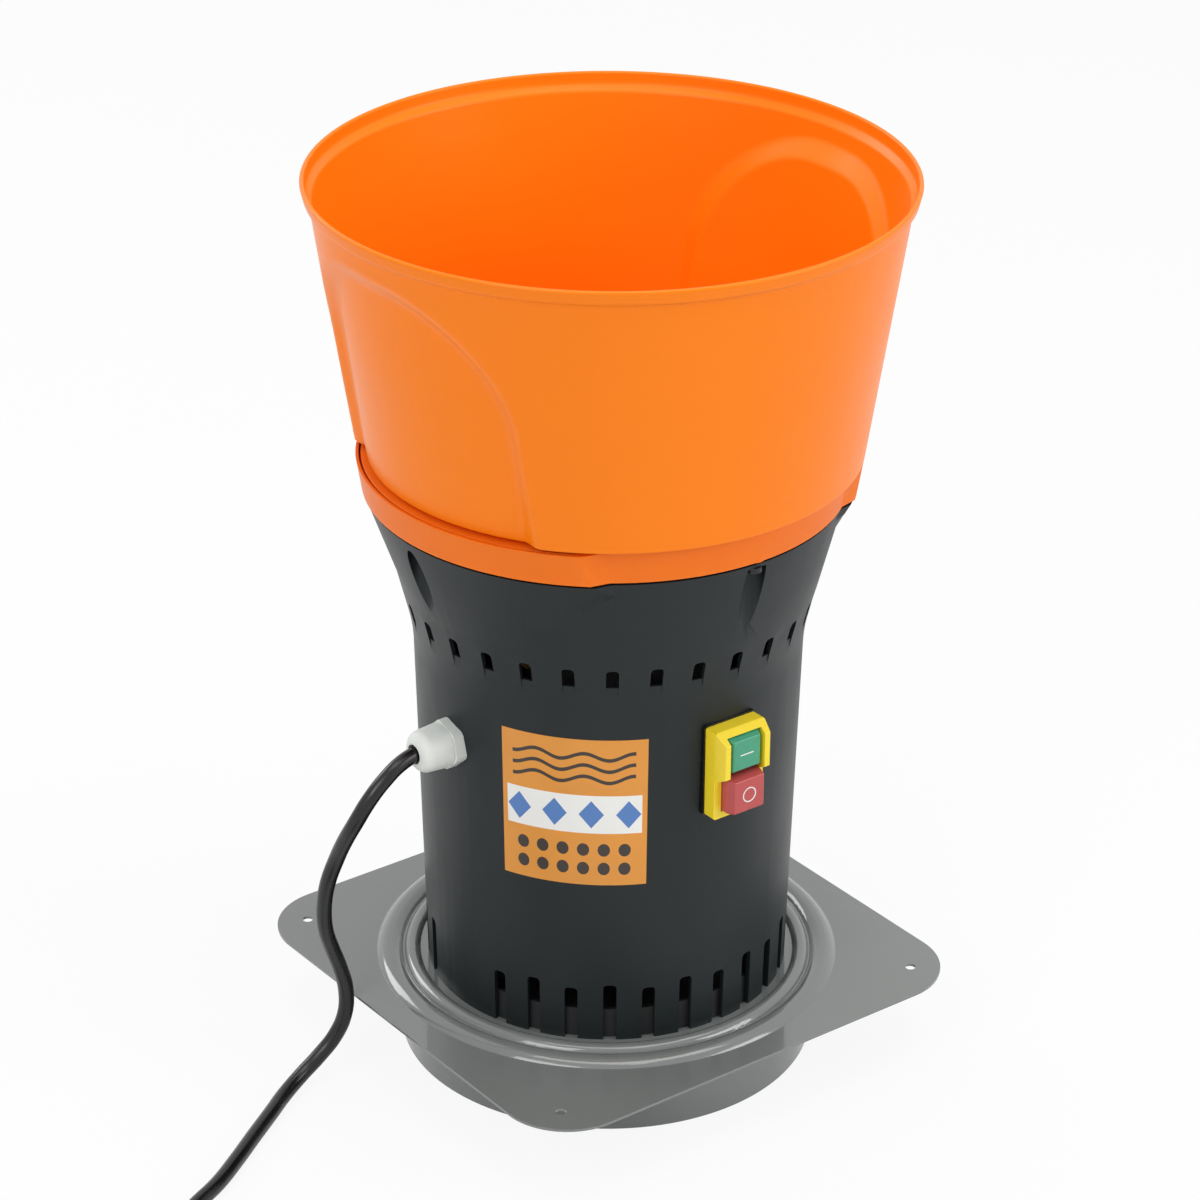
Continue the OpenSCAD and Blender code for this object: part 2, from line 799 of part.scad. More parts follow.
// Plan of a side pad on the +X side, with its slanted ends; grow widens it as an angle
module pad_plan(r_in, r_out, grow = 0) {
    from = pad_half_angle + pad_slant / 2 + grow;
    to = pad_half_angle - pad_slant / 2 + grow;
    a = [r_in * cos(from), r_in * sin(from)];
    b = [r_out * cos(to), r_out * sin(to)];
    outer = b + 3 * (b - a);
    inner = a - 1.5 * (b - a);
    polygon([
        inner, outer, [2 * r_out, outer.y], [2 * r_out, -outer.y],
        [outer.x, -outer.y], [inner.x, -inner.y]
    ]);
}

module both_pads(r_in, r_out, grow = 0) {
    for (turn = [0, 180]) rotate(turn) translate([0, 0, -CUT])
        linear_extrude(rim_z + 2 * CUT) pad_plan(r_in, r_out, grow);
}

// A pad's lower edge is an arch: how far it lies below the body's top at an angle from the pad's middle
function pad_drop(a) = max(pad_end_h, pad_h - neck_r * (1 - cos(a)));

// Section of a side pad at an angle: a straight slope from its top edge to the flare and a little into it
function pad_section(a) =
    let (drop = pad_drop(a))
    let (slope = (pad_r - flare_at(body_top - drop)) / drop)
    let (reach = 1.2 * drop)
    let (foot = pad_r - slope * reach)
    [
        for (p = [
            [foot - body_wall / 2, body_top - reach], [foot, body_top - reach],
            [pad_r - slope * seam_h, body_top - seam_h], [flare_r - body_wall / 2, body_top - seam_h]
        ])
            [p.x * cos(a), p.x * sin(a), p.y]
    ];

// Pad on the +X side, before its ends are cut
module side_pad() {
    spread = pad_half_angle + pad_slant;
    points = [for (i = [0:PAD_STEPS]) each pad_section(spread * (2 * i / PAD_STEPS - 1))];
    last = 4 * PAD_STEPS;
    polyhedron(points, concat(
        [[3, 2, 1, 0], [last, last + 1, last + 2, last + 3]],
        [
            for (i = [0:PAD_STEPS - 1], k = [0:3])
                let (a = 4 * i + k)
                let (b = 4 * i + (k + 1) % 4)
                each [[a, b, b + 4], [a, b + 4, a + 4]]
        ]
    ));
}

// Turned form of the body, set in by a wall where it is used for the hollow
module body_form(inset, low) {
    foot = [base_r - inset, plate_top];
    neck = [neck_r - inset, neck_z];
    top = [flare_r - inset, body_top];
    seam_z = body_top - seam_h;
    rotate_extrude() polygon(concat(
        [[0, low], [foot.x, low], foot], bend(foot, neck, top, flare_bend_r),
        [
            [flare_at(seam_z) - inset, seam_z], [top.x - seam_d, seam_z],
            [top.x - seam_d, body_top], [0, body_top]
        ]
    ));
}

module body_outside() {
    body_form(0, plate_top);
    intersection() {
        for (turn = [0, 180]) rotate(turn) side_pad();
        both_pads(flare_r, pad_r);
    }
}

// Slot with round upper corners, cut outwards from a radius
module vent(w, h, corner, from, to) {
    translate([from, 0, 0]) rotate([90, 0, 90]) linear_extrude(to - from) {
        translate([0, h / 2]) rounded_rect(w, h, corner);
        translate([-w / 2, 0]) square([w, h / 2]);
    }
}

// Groove below an upper vent, which runs out on the flare
module vent_groove() {
    top = plate_top + upper_vent_rise + CUT;
    end = top - CUT - vent_groove_l;
    translate([0, upper_vent_w / 2, 0]) rotate([90, 0, 0]) linear_extrude(upper_vent_w) polygon([
        [flare_at(top) - vent_groove_d, top], [pad_r, top], [pad_r, end], [flare_at(end) + CUT / 2, end]
    ]);
}

// Angles of the vents, one of them on the switch's side
function vent_angles() = [for (i = [0:360 / vent_pitch - 1]) 270 + i * vent_pitch];

// Every other lower vent is a little higher
function vent_height(a) = lower_vent_h + lower_vent_step * (((a - 270) / vent_pitch) % 2);

// The lower vents leave out the two beside each boss on the left and on the right
function beside_boss(a) = abs(sin(a)) < sin(vent_pitch * 0.75);

module body_boss() {
    rib_z = plate_top + collar_h + 1;
    translate([body_boss_at, 0, 0]) disc(deck_top, body_boss_r, rib_z + body_boss_h - deck_top);
    translate([body_boss_at, -2, rib_z]) cube([base_r - body_wall / 2 - body_boss_at, 4, body_boss_h]);
}

module body_shell() color([0.22, 0.24, 0.25]) {
    channel_top = body_top - body_flange_t;
    difference() {
        union() {
            difference() {
                body_outside();
                intersection() {
                    body_form(body_wall, plate_top - CUT);
                    disc(plate_top - CUT, 2 * pad_r, channel_top - plate_top + CUT);
                }
                disc(channel_top - CUT, body_flange_r, body_flange_t + 2 * CUT);
            }
            intersection() {
                body_outside();
                ring_copies(4, channel_r)
                    disc(pad_z - 10, channel_d / 2 + 2.5, channel_top - pad_z + 10 + EPS);
            }
            for (turn = [0, 180]) rotate(turn) body_boss();
        }
        ring_copies(4, channel_r) disc(pad_z - channel_run, channel_d / 2, channel_top - pad_z + channel_run);
        ring_copies(4, channel_r) disc(channel_top - CUT, screw_r + fit_gap, body_flange_t + 2 * CUT);
        for (turn = [0, 180]) rotate(turn) translate([body_boss_at, 0, 0])
            disc(deck_top - CUT, screw_r + fit_gap, CUT + screw_bite + screw_spare);
        for (a = vent_angles()) rotate(a) translate([0, 0, plate_top + upper_vent_rise])
            vent(upper_vent_w, upper_vent_h, vent_corner_r, neck_r - 12, pad_r);
        for (a = vent_angles()) rotate(a) vent_groove();
        for (a = vent_angles()) if (!beside_boss(a)) rotate(a) translate([0, 0, plate_top - CUT])
            vent(lower_vent_w, vent_height(a) + CUT, vent_corner_r, base_r - body_wall - 2, neck_r);
        at_switch() translate([0, opening_low + opening_h / 2, -block_depth])
            linear_extrude(2 * block_depth) square(block_size(2 * fit_gap), center = true);
        at_gland() disc(-2 * body_wall, gland_stem_r + fit_gap, 4 * body_wall);
    }
}

module body_screws() color("silver") {
    ring_copies(2, body_boss_at) translate([0, 0, skirt_h])
        screw(screw_r, plate_t + deck_t + screw_bite, screw_head_r, screw_head_h);
}

module feed_chute() color([0.3, 0.31, 0.32]) {
    half = feed_angle / 2 + chute_spread;
    translate([0, 0, deck_top]) linear_extrude(ring_floor_z - deck_top) difference() {
        feed_sector(feed_r_in - chute_wall, feed_r_out + chute_wall, half + 1.5);
        feed_sector(feed_r_in, feed_r_out, half);
    }
}

// Feed ring under the hopper

module ring_form() {
    cone_solid(body_top, ring_r, ring_top, ring_r + ring_flare);
    intersection() {
        cone_solid(body_top, ring_pad_r, ring_top, ring_pad_r + ring_flare + 1);
        both_pads(ring_r, ring_pad_r);
    }
}

module feed_ring() color([0.93, 0.47, 0.16]) {
    hollow_r = ring_r - 3;
    groove_r = ring_pad_r + ring_flare + 1 - lip_t;
    difference() {
        union() {
            difference() {
                ring_form();
                disc(body_top - CUT, hollow_r, ring_h - ring_floor_t + CUT);
            }
            ring_copies(4, channel_r) disc(body_top, screw_r + 3.5, ring_h - ring_floor_t + EPS);
            disc(ring_floor_z, pivot_r, ring_floor_t + pivot_h);
            disc(ring_floor_z - 12, pivot_r, 12 + EPS);
        }
        intersection() {
            tube(ring_top - groove_depth, groove_r, groove_r - groove_w, groove_depth + CUT);
            both_pads(ring_r, ring_pad_r, -4);
        }
        translate([0, 0, ring_floor_z - CUT]) linear_extrude(ring_floor_t + 2 * CUT)
            feed_sector(feed_r_in, feed_r_out, feed_angle / 2);
        ring_copies(4, channel_r) disc(body_top - CUT, screw_r + fit_gap, ring_h - 2 + CUT);
        disc(ring_floor_z - 12 - CUT, pivot_screw_r + fit_gap, ring_floor_t + pivot_h + 12 + 2 * CUT);
    }
}

module ring_screws() color("silver") {
    ring_copies(4, channel_r) translate([0, 0, body_top - body_flange_t])
        screw(screw_r, body_flange_t + ring_h - 4, screw_head_r, screw_head_h);
}

module pivot_washer() color("gainsboro") {
    tube(ring_top + pivot_h, pivot_washer_r, pivot_screw_r + fit_gap, washer_t);
}

module pivot_screw() color("silver") {
    translate([0, 0, ring_top + pivot_h + washer_t]) mirror([0, 0, 1])
        screw(pivot_screw_r, washer_t + pivot_h + ring_floor_t + 10, pivot_screw_r + 3, 5);
}

// Hopper

// Radius of the hopper's proud wall at a height
function wall_at(z) = low_r + (top_r - low_r) * (z - wall_z) / (lip_z - wall_z);

// A hand recess runs out below the hopper's foot
recess_low = hopper_z - CUT;

// Seen from its side, a hand recess has straight legs and two round corners.
// A sample is [half to the left or right, angle round that corner].
recess_samples = concat(
    [for (i = [0:RECESS_STEPS]) [-1, 180 - 90 * i / RECESS_STEPS]],
    [for (i = [0:RECESS_STEPS]) [1, 90 - 90 * i / RECESS_STEPS]]
);

// Outline of a hand recess on the wall set in by inset, narrower by the slope's width times share
function recess_outline(share, inset, grow) =
    let (corner_y = recess_w / 2 - recess_corner_r)
    let (arch = [
        for (s = recess_samples)
            let (slope_w = recess_side_w + (recess_top_w - recess_side_w) * pow(sin(s[1]), 2))
            let (r = recess_corner_r + grow - share * slope_w)
            [s[0] * corner_y + r * cos(s[1]), hopper_z + recess_rise + r * sin(s[1])]
    ])
    let (loop = concat([[arch[0].x, recess_low]], arch, [[arch[len(arch) - 1].x, recess_low]]))
    [for (p = loop) [sqrt(pow(wall_at(p.y) - inset, 2) - p.x * p.x), p.x, p.y]];

// Volume of a hand recess on the +X side: its sides slope from the wall to the recess's floor
module recess_volume(inset, grow) {
    rim = recess_outline(0, inset, grow);
    foot = recess_outline(1, inset + recess_depth, grow);
    count = len(rim);
    front = [for (i = [0:count - 1]) rim[i] + 0.8 * (rim[i] - foot[i])];
    back = [for (i = [0:count - 1]) foot[i] - 0.3 * (rim[i] - foot[i])];
    points = concat(front, back, [[2 * top_r, 0, recess_low], [foot_r / 2, 0, recess_low]]);
    polyhedron(points, [
        for (i = [0:count - 1])
            let (k = (i + 1) % count)
            each [
                [i, count + k, k], [i, count + i, count + k],
                [k, 2 * count, i], [count + i, 2 * count + 1, count + k]
            ]
    ]);
}

// Both hand recesses, down to the floor that lies inset behind the wall
module recesses(inset, grow) {
    floor_inset = inset + recess_depth;
    for (turn = [0, 180]) rotate(turn) difference() {
        recess_volume(inset, grow);
        cone_solid(
            hopper_z - 2 * CUT, wall_at(hopper_z - 2 * CUT) - floor_inset,
            lip_z, wall_at(lip_z) - floor_inset
        );
    }
}

module hopper_outside() {
    edge_z = hopper_z + proud_edge_h;
    rotate_extrude() polygon([
        [0, hopper_z], [foot_r, hopper_z], [foot_r, edge_z],
        [low_r - edge_round, edge_z], [low_r, wall_z], [top_r, lip_z],
        [top_r + lip_out, lip_z + lip_out / 2], [top_r + 2 * lip_out, rim_z - edge_round],
        [top_r + 2 * lip_out - edge_round, rim_z], [0, rim_z]
    ]);
}

module hopper_inside() {
    seat_z = hopper_z + gate_flange_t;
    shelf_z = hopper_z + proud_edge_h + hopper_wall;
    rotate_extrude() polygon([
        [0, seat_z], [foot_r - hopper_wall, seat_z], [foot_r - hopper_wall, shelf_z],
        [low_r - hopper_wall, shelf_z + edge_round], [top_r - hopper_wall, lip_z - lip_out / 2],
        [top_r + lip_out - hopper_wall, lip_z + lip_out],
        [top_r + 2 * lip_out - hopper_wall, rim_z],
        [top_r + 2 * lip_out - hopper_wall, rim_z + CUT], [0, rim_z + CUT]
    ]);
}

module hopper_shell() color([1, 0.5, 0.13]) {
    difference() {
        hopper_outside();
        recesses(0, 0);
        difference() {
            hopper_inside();
            recesses(hopper_wall, hopper_wall * 0.4);
        }
        disc(hopper_z - CUT, gate_hole_r + fit_gap, gate_flange_t + 2 * CUT);
        ring_copies(4, gate_screw_at, 45)
            disc(hopper_z - CUT, sieve_screw_r + fit_gap, gate_flange_t + 2 * CUT);
    }
}

module gate_disc() color([0.95, 0.45, 0.1]) {
    seat_z = hopper_z + gate_flange_t;
    difference() {
        union() {
            disc(hopper_z, gate_hole_r, gate_t);
            tube(seat_z, gate_hole_r + gate_rim_w, gate_hole_r - 6, gate_t - 1);
        }
        disc(hopper_z - CUT, pivot_r + run_gap, gate_t + 2 * CUT);
        translate([0, 0, hopper_z - CUT]) linear_extrude(gate_t + 2 * CUT)
            feed_sector(feed_r_in, feed_r_out, feed_angle / 2);
        ring_copies(4, gate_screw_at, 45) disc(seat_z - CUT, sieve_screw_r + fit_gap, gate_t + 2 * CUT);
    }
}

module gate_screws() color("silver") {
    head_z = hopper_z + gate_flange_t + gate_t - 1;
    ring_copies(4, gate_screw_at, 45) translate([0, 0, head_z]) mirror([0, 0, 1])
        screw(sieve_screw_r, gate_t - 1 + gate_flange_t - 0.5, 3.6, 2.2);
}

// Switch: x runs along the body, y up, and z outwards from the body's wall

module at_switch() {
    translate([0, -switch_r, switch_z]) rotate([90, 0, 0]) children();
}

function block_size(grow) = [opening_w + 2 * block_wall + grow, opening_h + 2 * block_wall + grow];

module opening_block(z, depth) {
    translate([0, opening_low + opening_h / 2, z]) linear_extrude(depth)
        square([opening_w, opening_h], center = true);
}

module switch_gasket() color([0.08, 0.08, 0.08]) {
    difference() {
        at_switch() difference() {
            translate([0, 0, -4]) linear_extrude(4 + gasket_t)
                rounded_rect(bezel_w + 1.6, bezel_h + 1.6, 2);
            translate([0, opening_low + opening_h / 2, -4 - CUT]) linear_extrude(8 + gasket_t)
                square(block_size(2 * fit_gap), center = true);
        }
        body_form(0, plate_top, $fn = 480);
    }
}

// The bezel is a low frame with a high collar round the start button: the common part of its side view,
// its plan with drafted cheeks, and its front view
module switch_bezel() color([0.95, 0.8, 0.1]) {
    frame = gasket_t + bezel_d;
    front = gasket_t + bezel_collar_d;
    half_h = bezel_h / 2;
    half_w = bezel_w / 2;
    collar_low = start_low + collar_end;
    at_switch() difference() {
        intersection() {
            rotate([90, 0, 90]) linear_extrude(2 * bezel_w, center = true) polygon([
                [-half_h, gasket_t], [half_h, gasket_t], [half_h, frame], [half_h - collar_slope, front],
                [collar_low, front], [collar_low - (front - frame) / 2, frame], [-half_h, frame]
            ]);
            rotate([90, 0, 0]) linear_extrude(2 * bezel_h, center = true) polygon([
                [-half_w, gasket_t], [half_w, gasket_t], [half_w, frame], [half_w - collar_draft, front],
                [-half_w + collar_draft, front], [-half_w, frame]
            ]);
            linear_extrude(front + CUT) rounded_rect(bezel_w, bezel_h, 1.5);
        }
        opening_block(-CUT, front + 2 * CUT);
    }
}

module switch_block() color([0.12, 0.12, 0.13]) {
    at_switch() difference() {
        translate([0, opening_low + opening_h / 2, gasket_t - block_depth]) linear_extrude(block_depth)
            square(block_size(0), center = true);
        opening_block(-button_root - button_travel - 1, block_depth);
    }
}

// Outline of a push button across one of its sides: straight below, drafted towards its front
module button_side(width, front, draft) {
    half = width / 2;
    polygon([
        [-half, -button_root], [half, -button_root], [half, front - button_draft_l],
        [half - draft, front], [-half + draft, front], [-half, front - button_draft_l]
    ]);
}

module button_cap(low, height, front, draft) {
    at_switch() translate([0, low + height / 2, 0]) intersection() {
        translate([0, 0, -button_root]) linear_extrude(front + button_root)
            rounded_rect(button_w, height, 1.2);
        rotate([90, 0, 0]) linear_extrude(2 * height, center = true)
            button_side(button_w, front, draft);
        rotate([90, 0, 90]) linear_extrude(2 * button_w, center = true)
            button_side(height, front, draft);
    }
}

module start_button() color([0.2, 0.6, 0.42]) {
    button_cap(start_low, start_h, gasket_t + bezel_collar_d - 1, start_draft_w);
}

module stop_button() color([0.78, 0.2, 0.2]) {
    button_cap(stop_low, stop_h, gasket_t + bezel_collar_d + stop_proud, stop_draft_w);
}

// Gland: z runs outwards from the body's wall

module at_gland() {
    translate([-gland_r, 0, gland_z]) rotate([0, -90, 0]) children();
}

// Hexagon with turned-off corners, as it stands on the body
module gland_hexagon(af, t, corner) {
    intersection() {
        rotate(gland_turn) hexagon(af, t);
        cylinder(r = af / 2 / cos(30) - corner, h = t);
    }
}

module gland_body() color([0.84, 0.85, 0.82]) {
    stem_l = body_wall + locknut_gap + locknut_t + 2;
    difference() {
        union() {
            difference() {
                at_gland() translate([0, 0, -2]) gland_hexagon(gland_af, 2 + gland_hex_t, gland_corner);
                body_form(0, plate_top);
            }
            at_gland() disc(-stem_l, gland_stem_r, stem_l + 1);
        }
        at_gland() disc(-stem_l - CUT, gland_bore_r, stem_l + gland_hex_t + 2 * CUT);
    }
}

// The nut is a tapered dome with six shallow flats
module gland_nut() color([0.86, 0.87, 0.84]) {
    dome_z = gland_nut_l - gland_dome_r;
    shoulder_r = gland_nut_r - gland_taper;
    at_gland() translate([0, 0, gland_hex_t]) difference() {
        intersection() {
            rotate_extrude() {
                polygon([
                    [0, 0], [gland_nut_r - gland_groove, 0], [gland_nut_r, gland_groove],
                    [shoulder_r, dome_z], [0, dome_z]
                ]);
                square([shoulder_r - gland_dome_r, gland_nut_l]);
                translate([shoulder_r - gland_dome_r, dome_z]) intersection() {
                    circle(gland_dome_r);
                    square(gland_dome_r);
                }
            }
            rotate(gland_turn) hexagon(2 * (gland_nut_r - gland_flat), gland_nut_l);
        }
        disc(-CUT, gland_bore_r + 0.4, gland_nut_l + 2 * CUT);
        disc(-CUT, gland_stem_r - 1, gland_seal_l + 2 + CUT);
    }
}

module gland_seal() color([0.1, 0.1, 0.1]) {
    at_gland() tube(gland_hex_t, gland_stem_r - 1 - fit_gap, cord_r + run_gap, gland_seal_l + 2 - fit_gap);
}

module gland_locknut() color([0.84, 0.85, 0.82]) {
    at_gland() translate([0, 0, -body_wall - locknut_gap - locknut_t]) difference() {
        hexagon(gland_af, locknut_t);
        disc(-CUT, gland_stem_r + run_gap, locknut_t + 2 * CUT);
    }
}

// Cord

// Ring of points round one point of a path; up is any direction off the path
function tube_ring(at, along, up, r, sides) =
    let (t = unit(along))
    let (a = unit(cross(t, up)))
    let (b = cross(a, t))
    [
        for (i = [0:sides - 1])
            let (turn = 360 * (i + 0.5) / sides)
            at + r * (cos(turn) * a + sin(turn) * b)
    ];

// Direction of a path at one of its points
function heading_at(path, i) =
    let (last = len(path) - 1)
    path[min(i + 1, last)] - path[max(i - 1, 0)];

// Tube along a path as one polyhedron of triangles
module path_tube(path, up, r, sides) {
    rings = len(path);
    points = [for (i = [0:rings - 1]) each tube_ring(path[i], heading_at(path, i), up, r, sides)];
    walls = [
        for (i = [0:rings - 2], j = [0:sides - 1])
            let (a = i * sides + j)
            let (b = i * sides + (j + 1) % sides)
            each [[a, a + sides, b + sides], [a, b + sides, b]]
    ];
    first = [for (j = [1:sides - 2]) [0, j, j + 1]];
    end = (rings - 1) * sides;
    last = [for (j = [1:sides - 2]) [end, end + j + 1, end + j]];
    polyhedron(points, concat(walls, first, last));
}

// Place on the coil after t turns: it spirals in, climbs a layer as it reverses and spirals out
function coil_point(t) =
    let (r = coil_r - coil_pitch * min(t, coil_turns - t))
    let (climb = min(1, max(0, (t - climb_from) / 0.5)))
    let (a = coil_heading - 90 + 360 * t)
    [coil_at.x + r * cos(a), coil_at.y + r * sin(a), coil_z + coil_lift * (1 - cos(180 * climb)) / 2];

coil_samples = floor(coil_turns * COIL_STEPS + 0.5);
coil_loops = [for (i = [0:coil_samples]) coil_point(i * coil_turns / coil_samples)];
coil_end = coil_loops[coil_samples];
plug_ahead = [cos(plug_heading), sin(plug_heading), 0];
coil_entry = coil_start - coil_lead * coil_ahead;
coil_exit = coil_end + coil_lead * plug_ahead;
coil_path = concat([coil_entry], coil_loops, [coil_exit]);

// Least gap between two turns of the coil, from points over half a turn apart
coil_gap = min([
    for (i = [0:coil_samples], j = [i + COIL_STEPS / 2:1:coil_samples]) norm(coil_loops[i] - coil_loops[j])
]) - cord_d;
echo(coil_gap = coil_gap);

module mains_cord() color([0.1, 0.1, 0.1]) {
    path_tube(concat(cord_route, [coil_entry]), [0, 1, 0], cord_r, CORD_SIDES);
}

module cord_coil() color([0.1, 0.1, 0.1]) {
    path_tube(coil_path, [0, 0, 1], cord_r, COIL_SIDES);
}

// Strap round the bundle of loops, on the side of the coil away from the cord's entry
module cord_tie() color([0.14, 0.14, 0.15]) {
    inner = coil_r - coil_pitch * coil_turns / 2 - cord_r - tie_gap;
    outer = coil_r + cord_r + tie_gap;
    high = coil_z + coil_lift + cord_r + tie_gap / 2 - tie_t;
    translate([coil_at.x, coil_at.y, 0]) rotate(coil_heading + 150) translate([0, tie_w / 2, 0])
        rotate([90, 0, 0]) linear_extrude(tie_w) difference() {
            translate([inner - tie_t, 0]) square([outer - inner + 2 * tie_t, high + 2 * tie_t]);
            translate([inner, tie_t]) square([outer - inner, high]);
        }
}

// Plug: z runs along the plug from the cord's end towards the pins
module at_plug() {
    translate([coil_exit.x, coil_exit.y, plug_z]) rotate([0, 0, plug_heading]) rotate([90, 0, 90])
        children();
}

module plug_body() color([0.1, 0.1, 0.1]) {
    grip_r = plug_z - EPS;
    at_plug() {
        cylinder(r1 = cord_r + 1.5, r2 = grip_r * 0.62, h = plug_relief_l);
        hull() {
            translate([0, 0, plug_relief_l - 2]) cylinder(r = grip_r * 0.6, h = 2, $fn = 32);
            for (side = [-1, 1]) translate([side * (plug_half_w - grip_r), 0, plug_relief_l + 14])
                cylinder(r = grip_r, h = plug_l - 14, $fn = 32);
        }
    }
}

module plug_pins() color([0.8, 0.7, 0.4]) {
    at_plug() for (side = [-1, 1]) translate([side * plug_pin_gap / 2, 0, plug_relief_l + plug_l])
        cylinder(r = plug_pin_r, h = plug_pin_l);
}

base_plate();
chamber_skirt();
skirt_flange();
sieve_flange();
sieve();
sieve_screws();
motor_deck();
deck_screws();
body_shell();
body_screws();
feed_chute();
feed_ring();
ring_screws();
pivot_washer();
pivot_screw();
hopper_shell();
gate_disc();
gate_screws();
stator_core();
field_coils();
lower_bracket();
upper_bracket();
motor_bolts();
lower_bearing();
upper_bearing();
shaft_seal();
brush_holders();
brushes();
shaft();
armature_core();
armature_winding();
commutator();
cooling_fan();
knife_hub();
knife();
knife_washer();
knife_nut();
switch_gasket();
switch_bezel();
switch_block();
start_button();
stop_button();
gland_body();
gland_nut();
gland_seal();
gland_locknut();
mains_cord();
cord_coil();
cord_tie();
plug_body();
plug_pins();
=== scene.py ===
# %% [markdown]
# # An electric grain mill
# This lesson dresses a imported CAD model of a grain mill: an orange hopper over a dark motor body,
# on a grey pressed plate. The CAD solids fix every size. Blender adds finishes, the cord as one
# flexible length, and the moulded pieces whose soft forms are easier to make as meshes.

# %% Load the frame
import json
import math

import bpy
import numpy as np
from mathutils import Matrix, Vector


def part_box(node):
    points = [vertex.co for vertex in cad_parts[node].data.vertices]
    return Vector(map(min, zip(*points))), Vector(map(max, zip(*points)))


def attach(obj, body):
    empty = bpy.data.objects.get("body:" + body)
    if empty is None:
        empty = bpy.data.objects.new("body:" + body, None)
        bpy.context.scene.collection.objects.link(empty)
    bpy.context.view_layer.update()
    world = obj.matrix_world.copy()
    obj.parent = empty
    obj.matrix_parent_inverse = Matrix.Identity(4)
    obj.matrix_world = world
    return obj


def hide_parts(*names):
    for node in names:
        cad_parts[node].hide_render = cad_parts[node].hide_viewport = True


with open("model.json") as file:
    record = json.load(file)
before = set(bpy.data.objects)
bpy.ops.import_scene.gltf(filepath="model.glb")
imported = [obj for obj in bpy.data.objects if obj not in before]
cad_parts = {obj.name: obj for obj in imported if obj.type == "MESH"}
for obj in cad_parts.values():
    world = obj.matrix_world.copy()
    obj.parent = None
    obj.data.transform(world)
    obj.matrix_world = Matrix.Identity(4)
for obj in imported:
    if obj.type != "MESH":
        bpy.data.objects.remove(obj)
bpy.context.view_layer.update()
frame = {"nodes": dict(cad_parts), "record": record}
nodes = frame["nodes"]
bpy.ops.object.select_all(action="DESELECT")
MM = 0.001

# %% [markdown]
# ## The camera
# The picture was taken from the mill's front left, a little above the hopper, with a long lens. A long
# lens keeps the sides of the hopper nearly straight. The camera stands where the lines of the plate and
# the ellipse of the rim meet those of the picture, with a very small roll.

# %% Camera
CAMERA_PLACE = Vector((-1.2258, -1.6151, 1.2926))
CAMERA_TARGET = Vector((-0.0039, 0.0029, 0.2741))
CAMERA_ROLL = 0.0058
LENS_MM = 121.36
SENSOR_MM = 36
VIEW_END = 50


def aim(thing, place, target):
    """Turns a camera or a lamp at place towards target."""
    thing.rotation_euler = (target - place).to_track_quat("-Z", "Y").to_euler()


bpy.ops.object.camera_add(location=CAMERA_PLACE)
camera = bpy.context.object
camera.name = "photo_camera"
camera.data.lens = LENS_MM
camera.data.sensor_width = SENSOR_MM
camera.data.clip_end = VIEW_END
aim(camera, CAMERA_PLACE, CAMERA_TARGET)
camera.rotation_euler.rotate_axis("Z", CAMERA_ROLL)
bpy.context.scene.camera = camera
print("camera", round((CAMERA_TARGET - CAMERA_PLACE).length, 3), "m from its target")

# %% [markdown]
# ## The floor
# A product picture has an even white ground. The floor is a sheet of pale paper that keeps the shadow. What
# the camera sees of it, and what shiny surfaces mirror of it, is lifted towards white by its own material,
# so that the lamps can stay at a plain level on the mill.

# %% Floor
FLOOR_SIZE = 14
FLOOR_Z = -0.0005
PAPER_GREY = 0.86
PAPER_ROUGH = 0.9
SEEN_WHITE = 0.9
MIRRORED_WHITE = 0.5
scene = bpy.context.scene
scene.view_settings.view_transform = "Standard"

bpy.ops.mesh.primitive_plane_add(size=FLOOR_SIZE, location=(0, 0, FLOOR_Z))
floor = bpy.context.object
floor.name = "floor"

floor_paint = bpy.data.materials.new("floor_paper")
floor_paint.use_nodes = True
floor_tree = floor_paint.node_tree
paper = floor_tree.nodes["Principled BSDF"]
paper.inputs["Base Color"].default_value = (PAPER_GREY, PAPER_GREY, PAPER_GREY, 1)
paper.inputs["Roughness"].default_value = PAPER_ROUGH
glow = floor_tree.nodes.new("ShaderNodeEmission")
glow.inputs["Strength"].default_value = 1.0
rays = floor_tree.nodes.new("ShaderNodeLightPath")
mirrored = floor_tree.nodes.new("ShaderNodeMath")
mirrored.operation = "MULTIPLY"
mirrored.inputs[1].default_value = MIRRORED_WHITE
white_share = floor_tree.nodes.new("ShaderNodeMath")
white_share.operation = "MULTIPLY_ADD"
white_share.inputs[1].default_value = SEEN_WHITE
blend = floor_tree.nodes.new("ShaderNodeMixShader")
floor_tree.links.new(rays.outputs["Is Glossy Ray"], mirrored.inputs[0])
floor_tree.links.new(rays.outputs["Is Camera Ray"], white_share.inputs[0])
floor_tree.links.new(mirrored.outputs[0], white_share.inputs[2])
floor_tree.links.new(white_share.outputs[0], blend.inputs["Fac"])
floor_tree.links.new(paper.outputs["BSDF"], blend.inputs[1])
floor_tree.links.new(glow.outputs["Emission"], blend.inputs[2])
floor_tree.links.new(blend.outputs["Shader"], floor_tree.nodes["Material Output"].inputs["Surface"])
floor.data.materials.append(floor_paint)
print("floor", FLOOR_SIZE, "m wide")

# %% [markdown]
# ## The light
# Four large square lamps stand round the mill, and a white sky fills the shadows. Large lamps give soft
# edges to shadows and broad, calm glints. The sky is brighter where a shiny surface mirrors it, as the white
# walls of a studio would be.

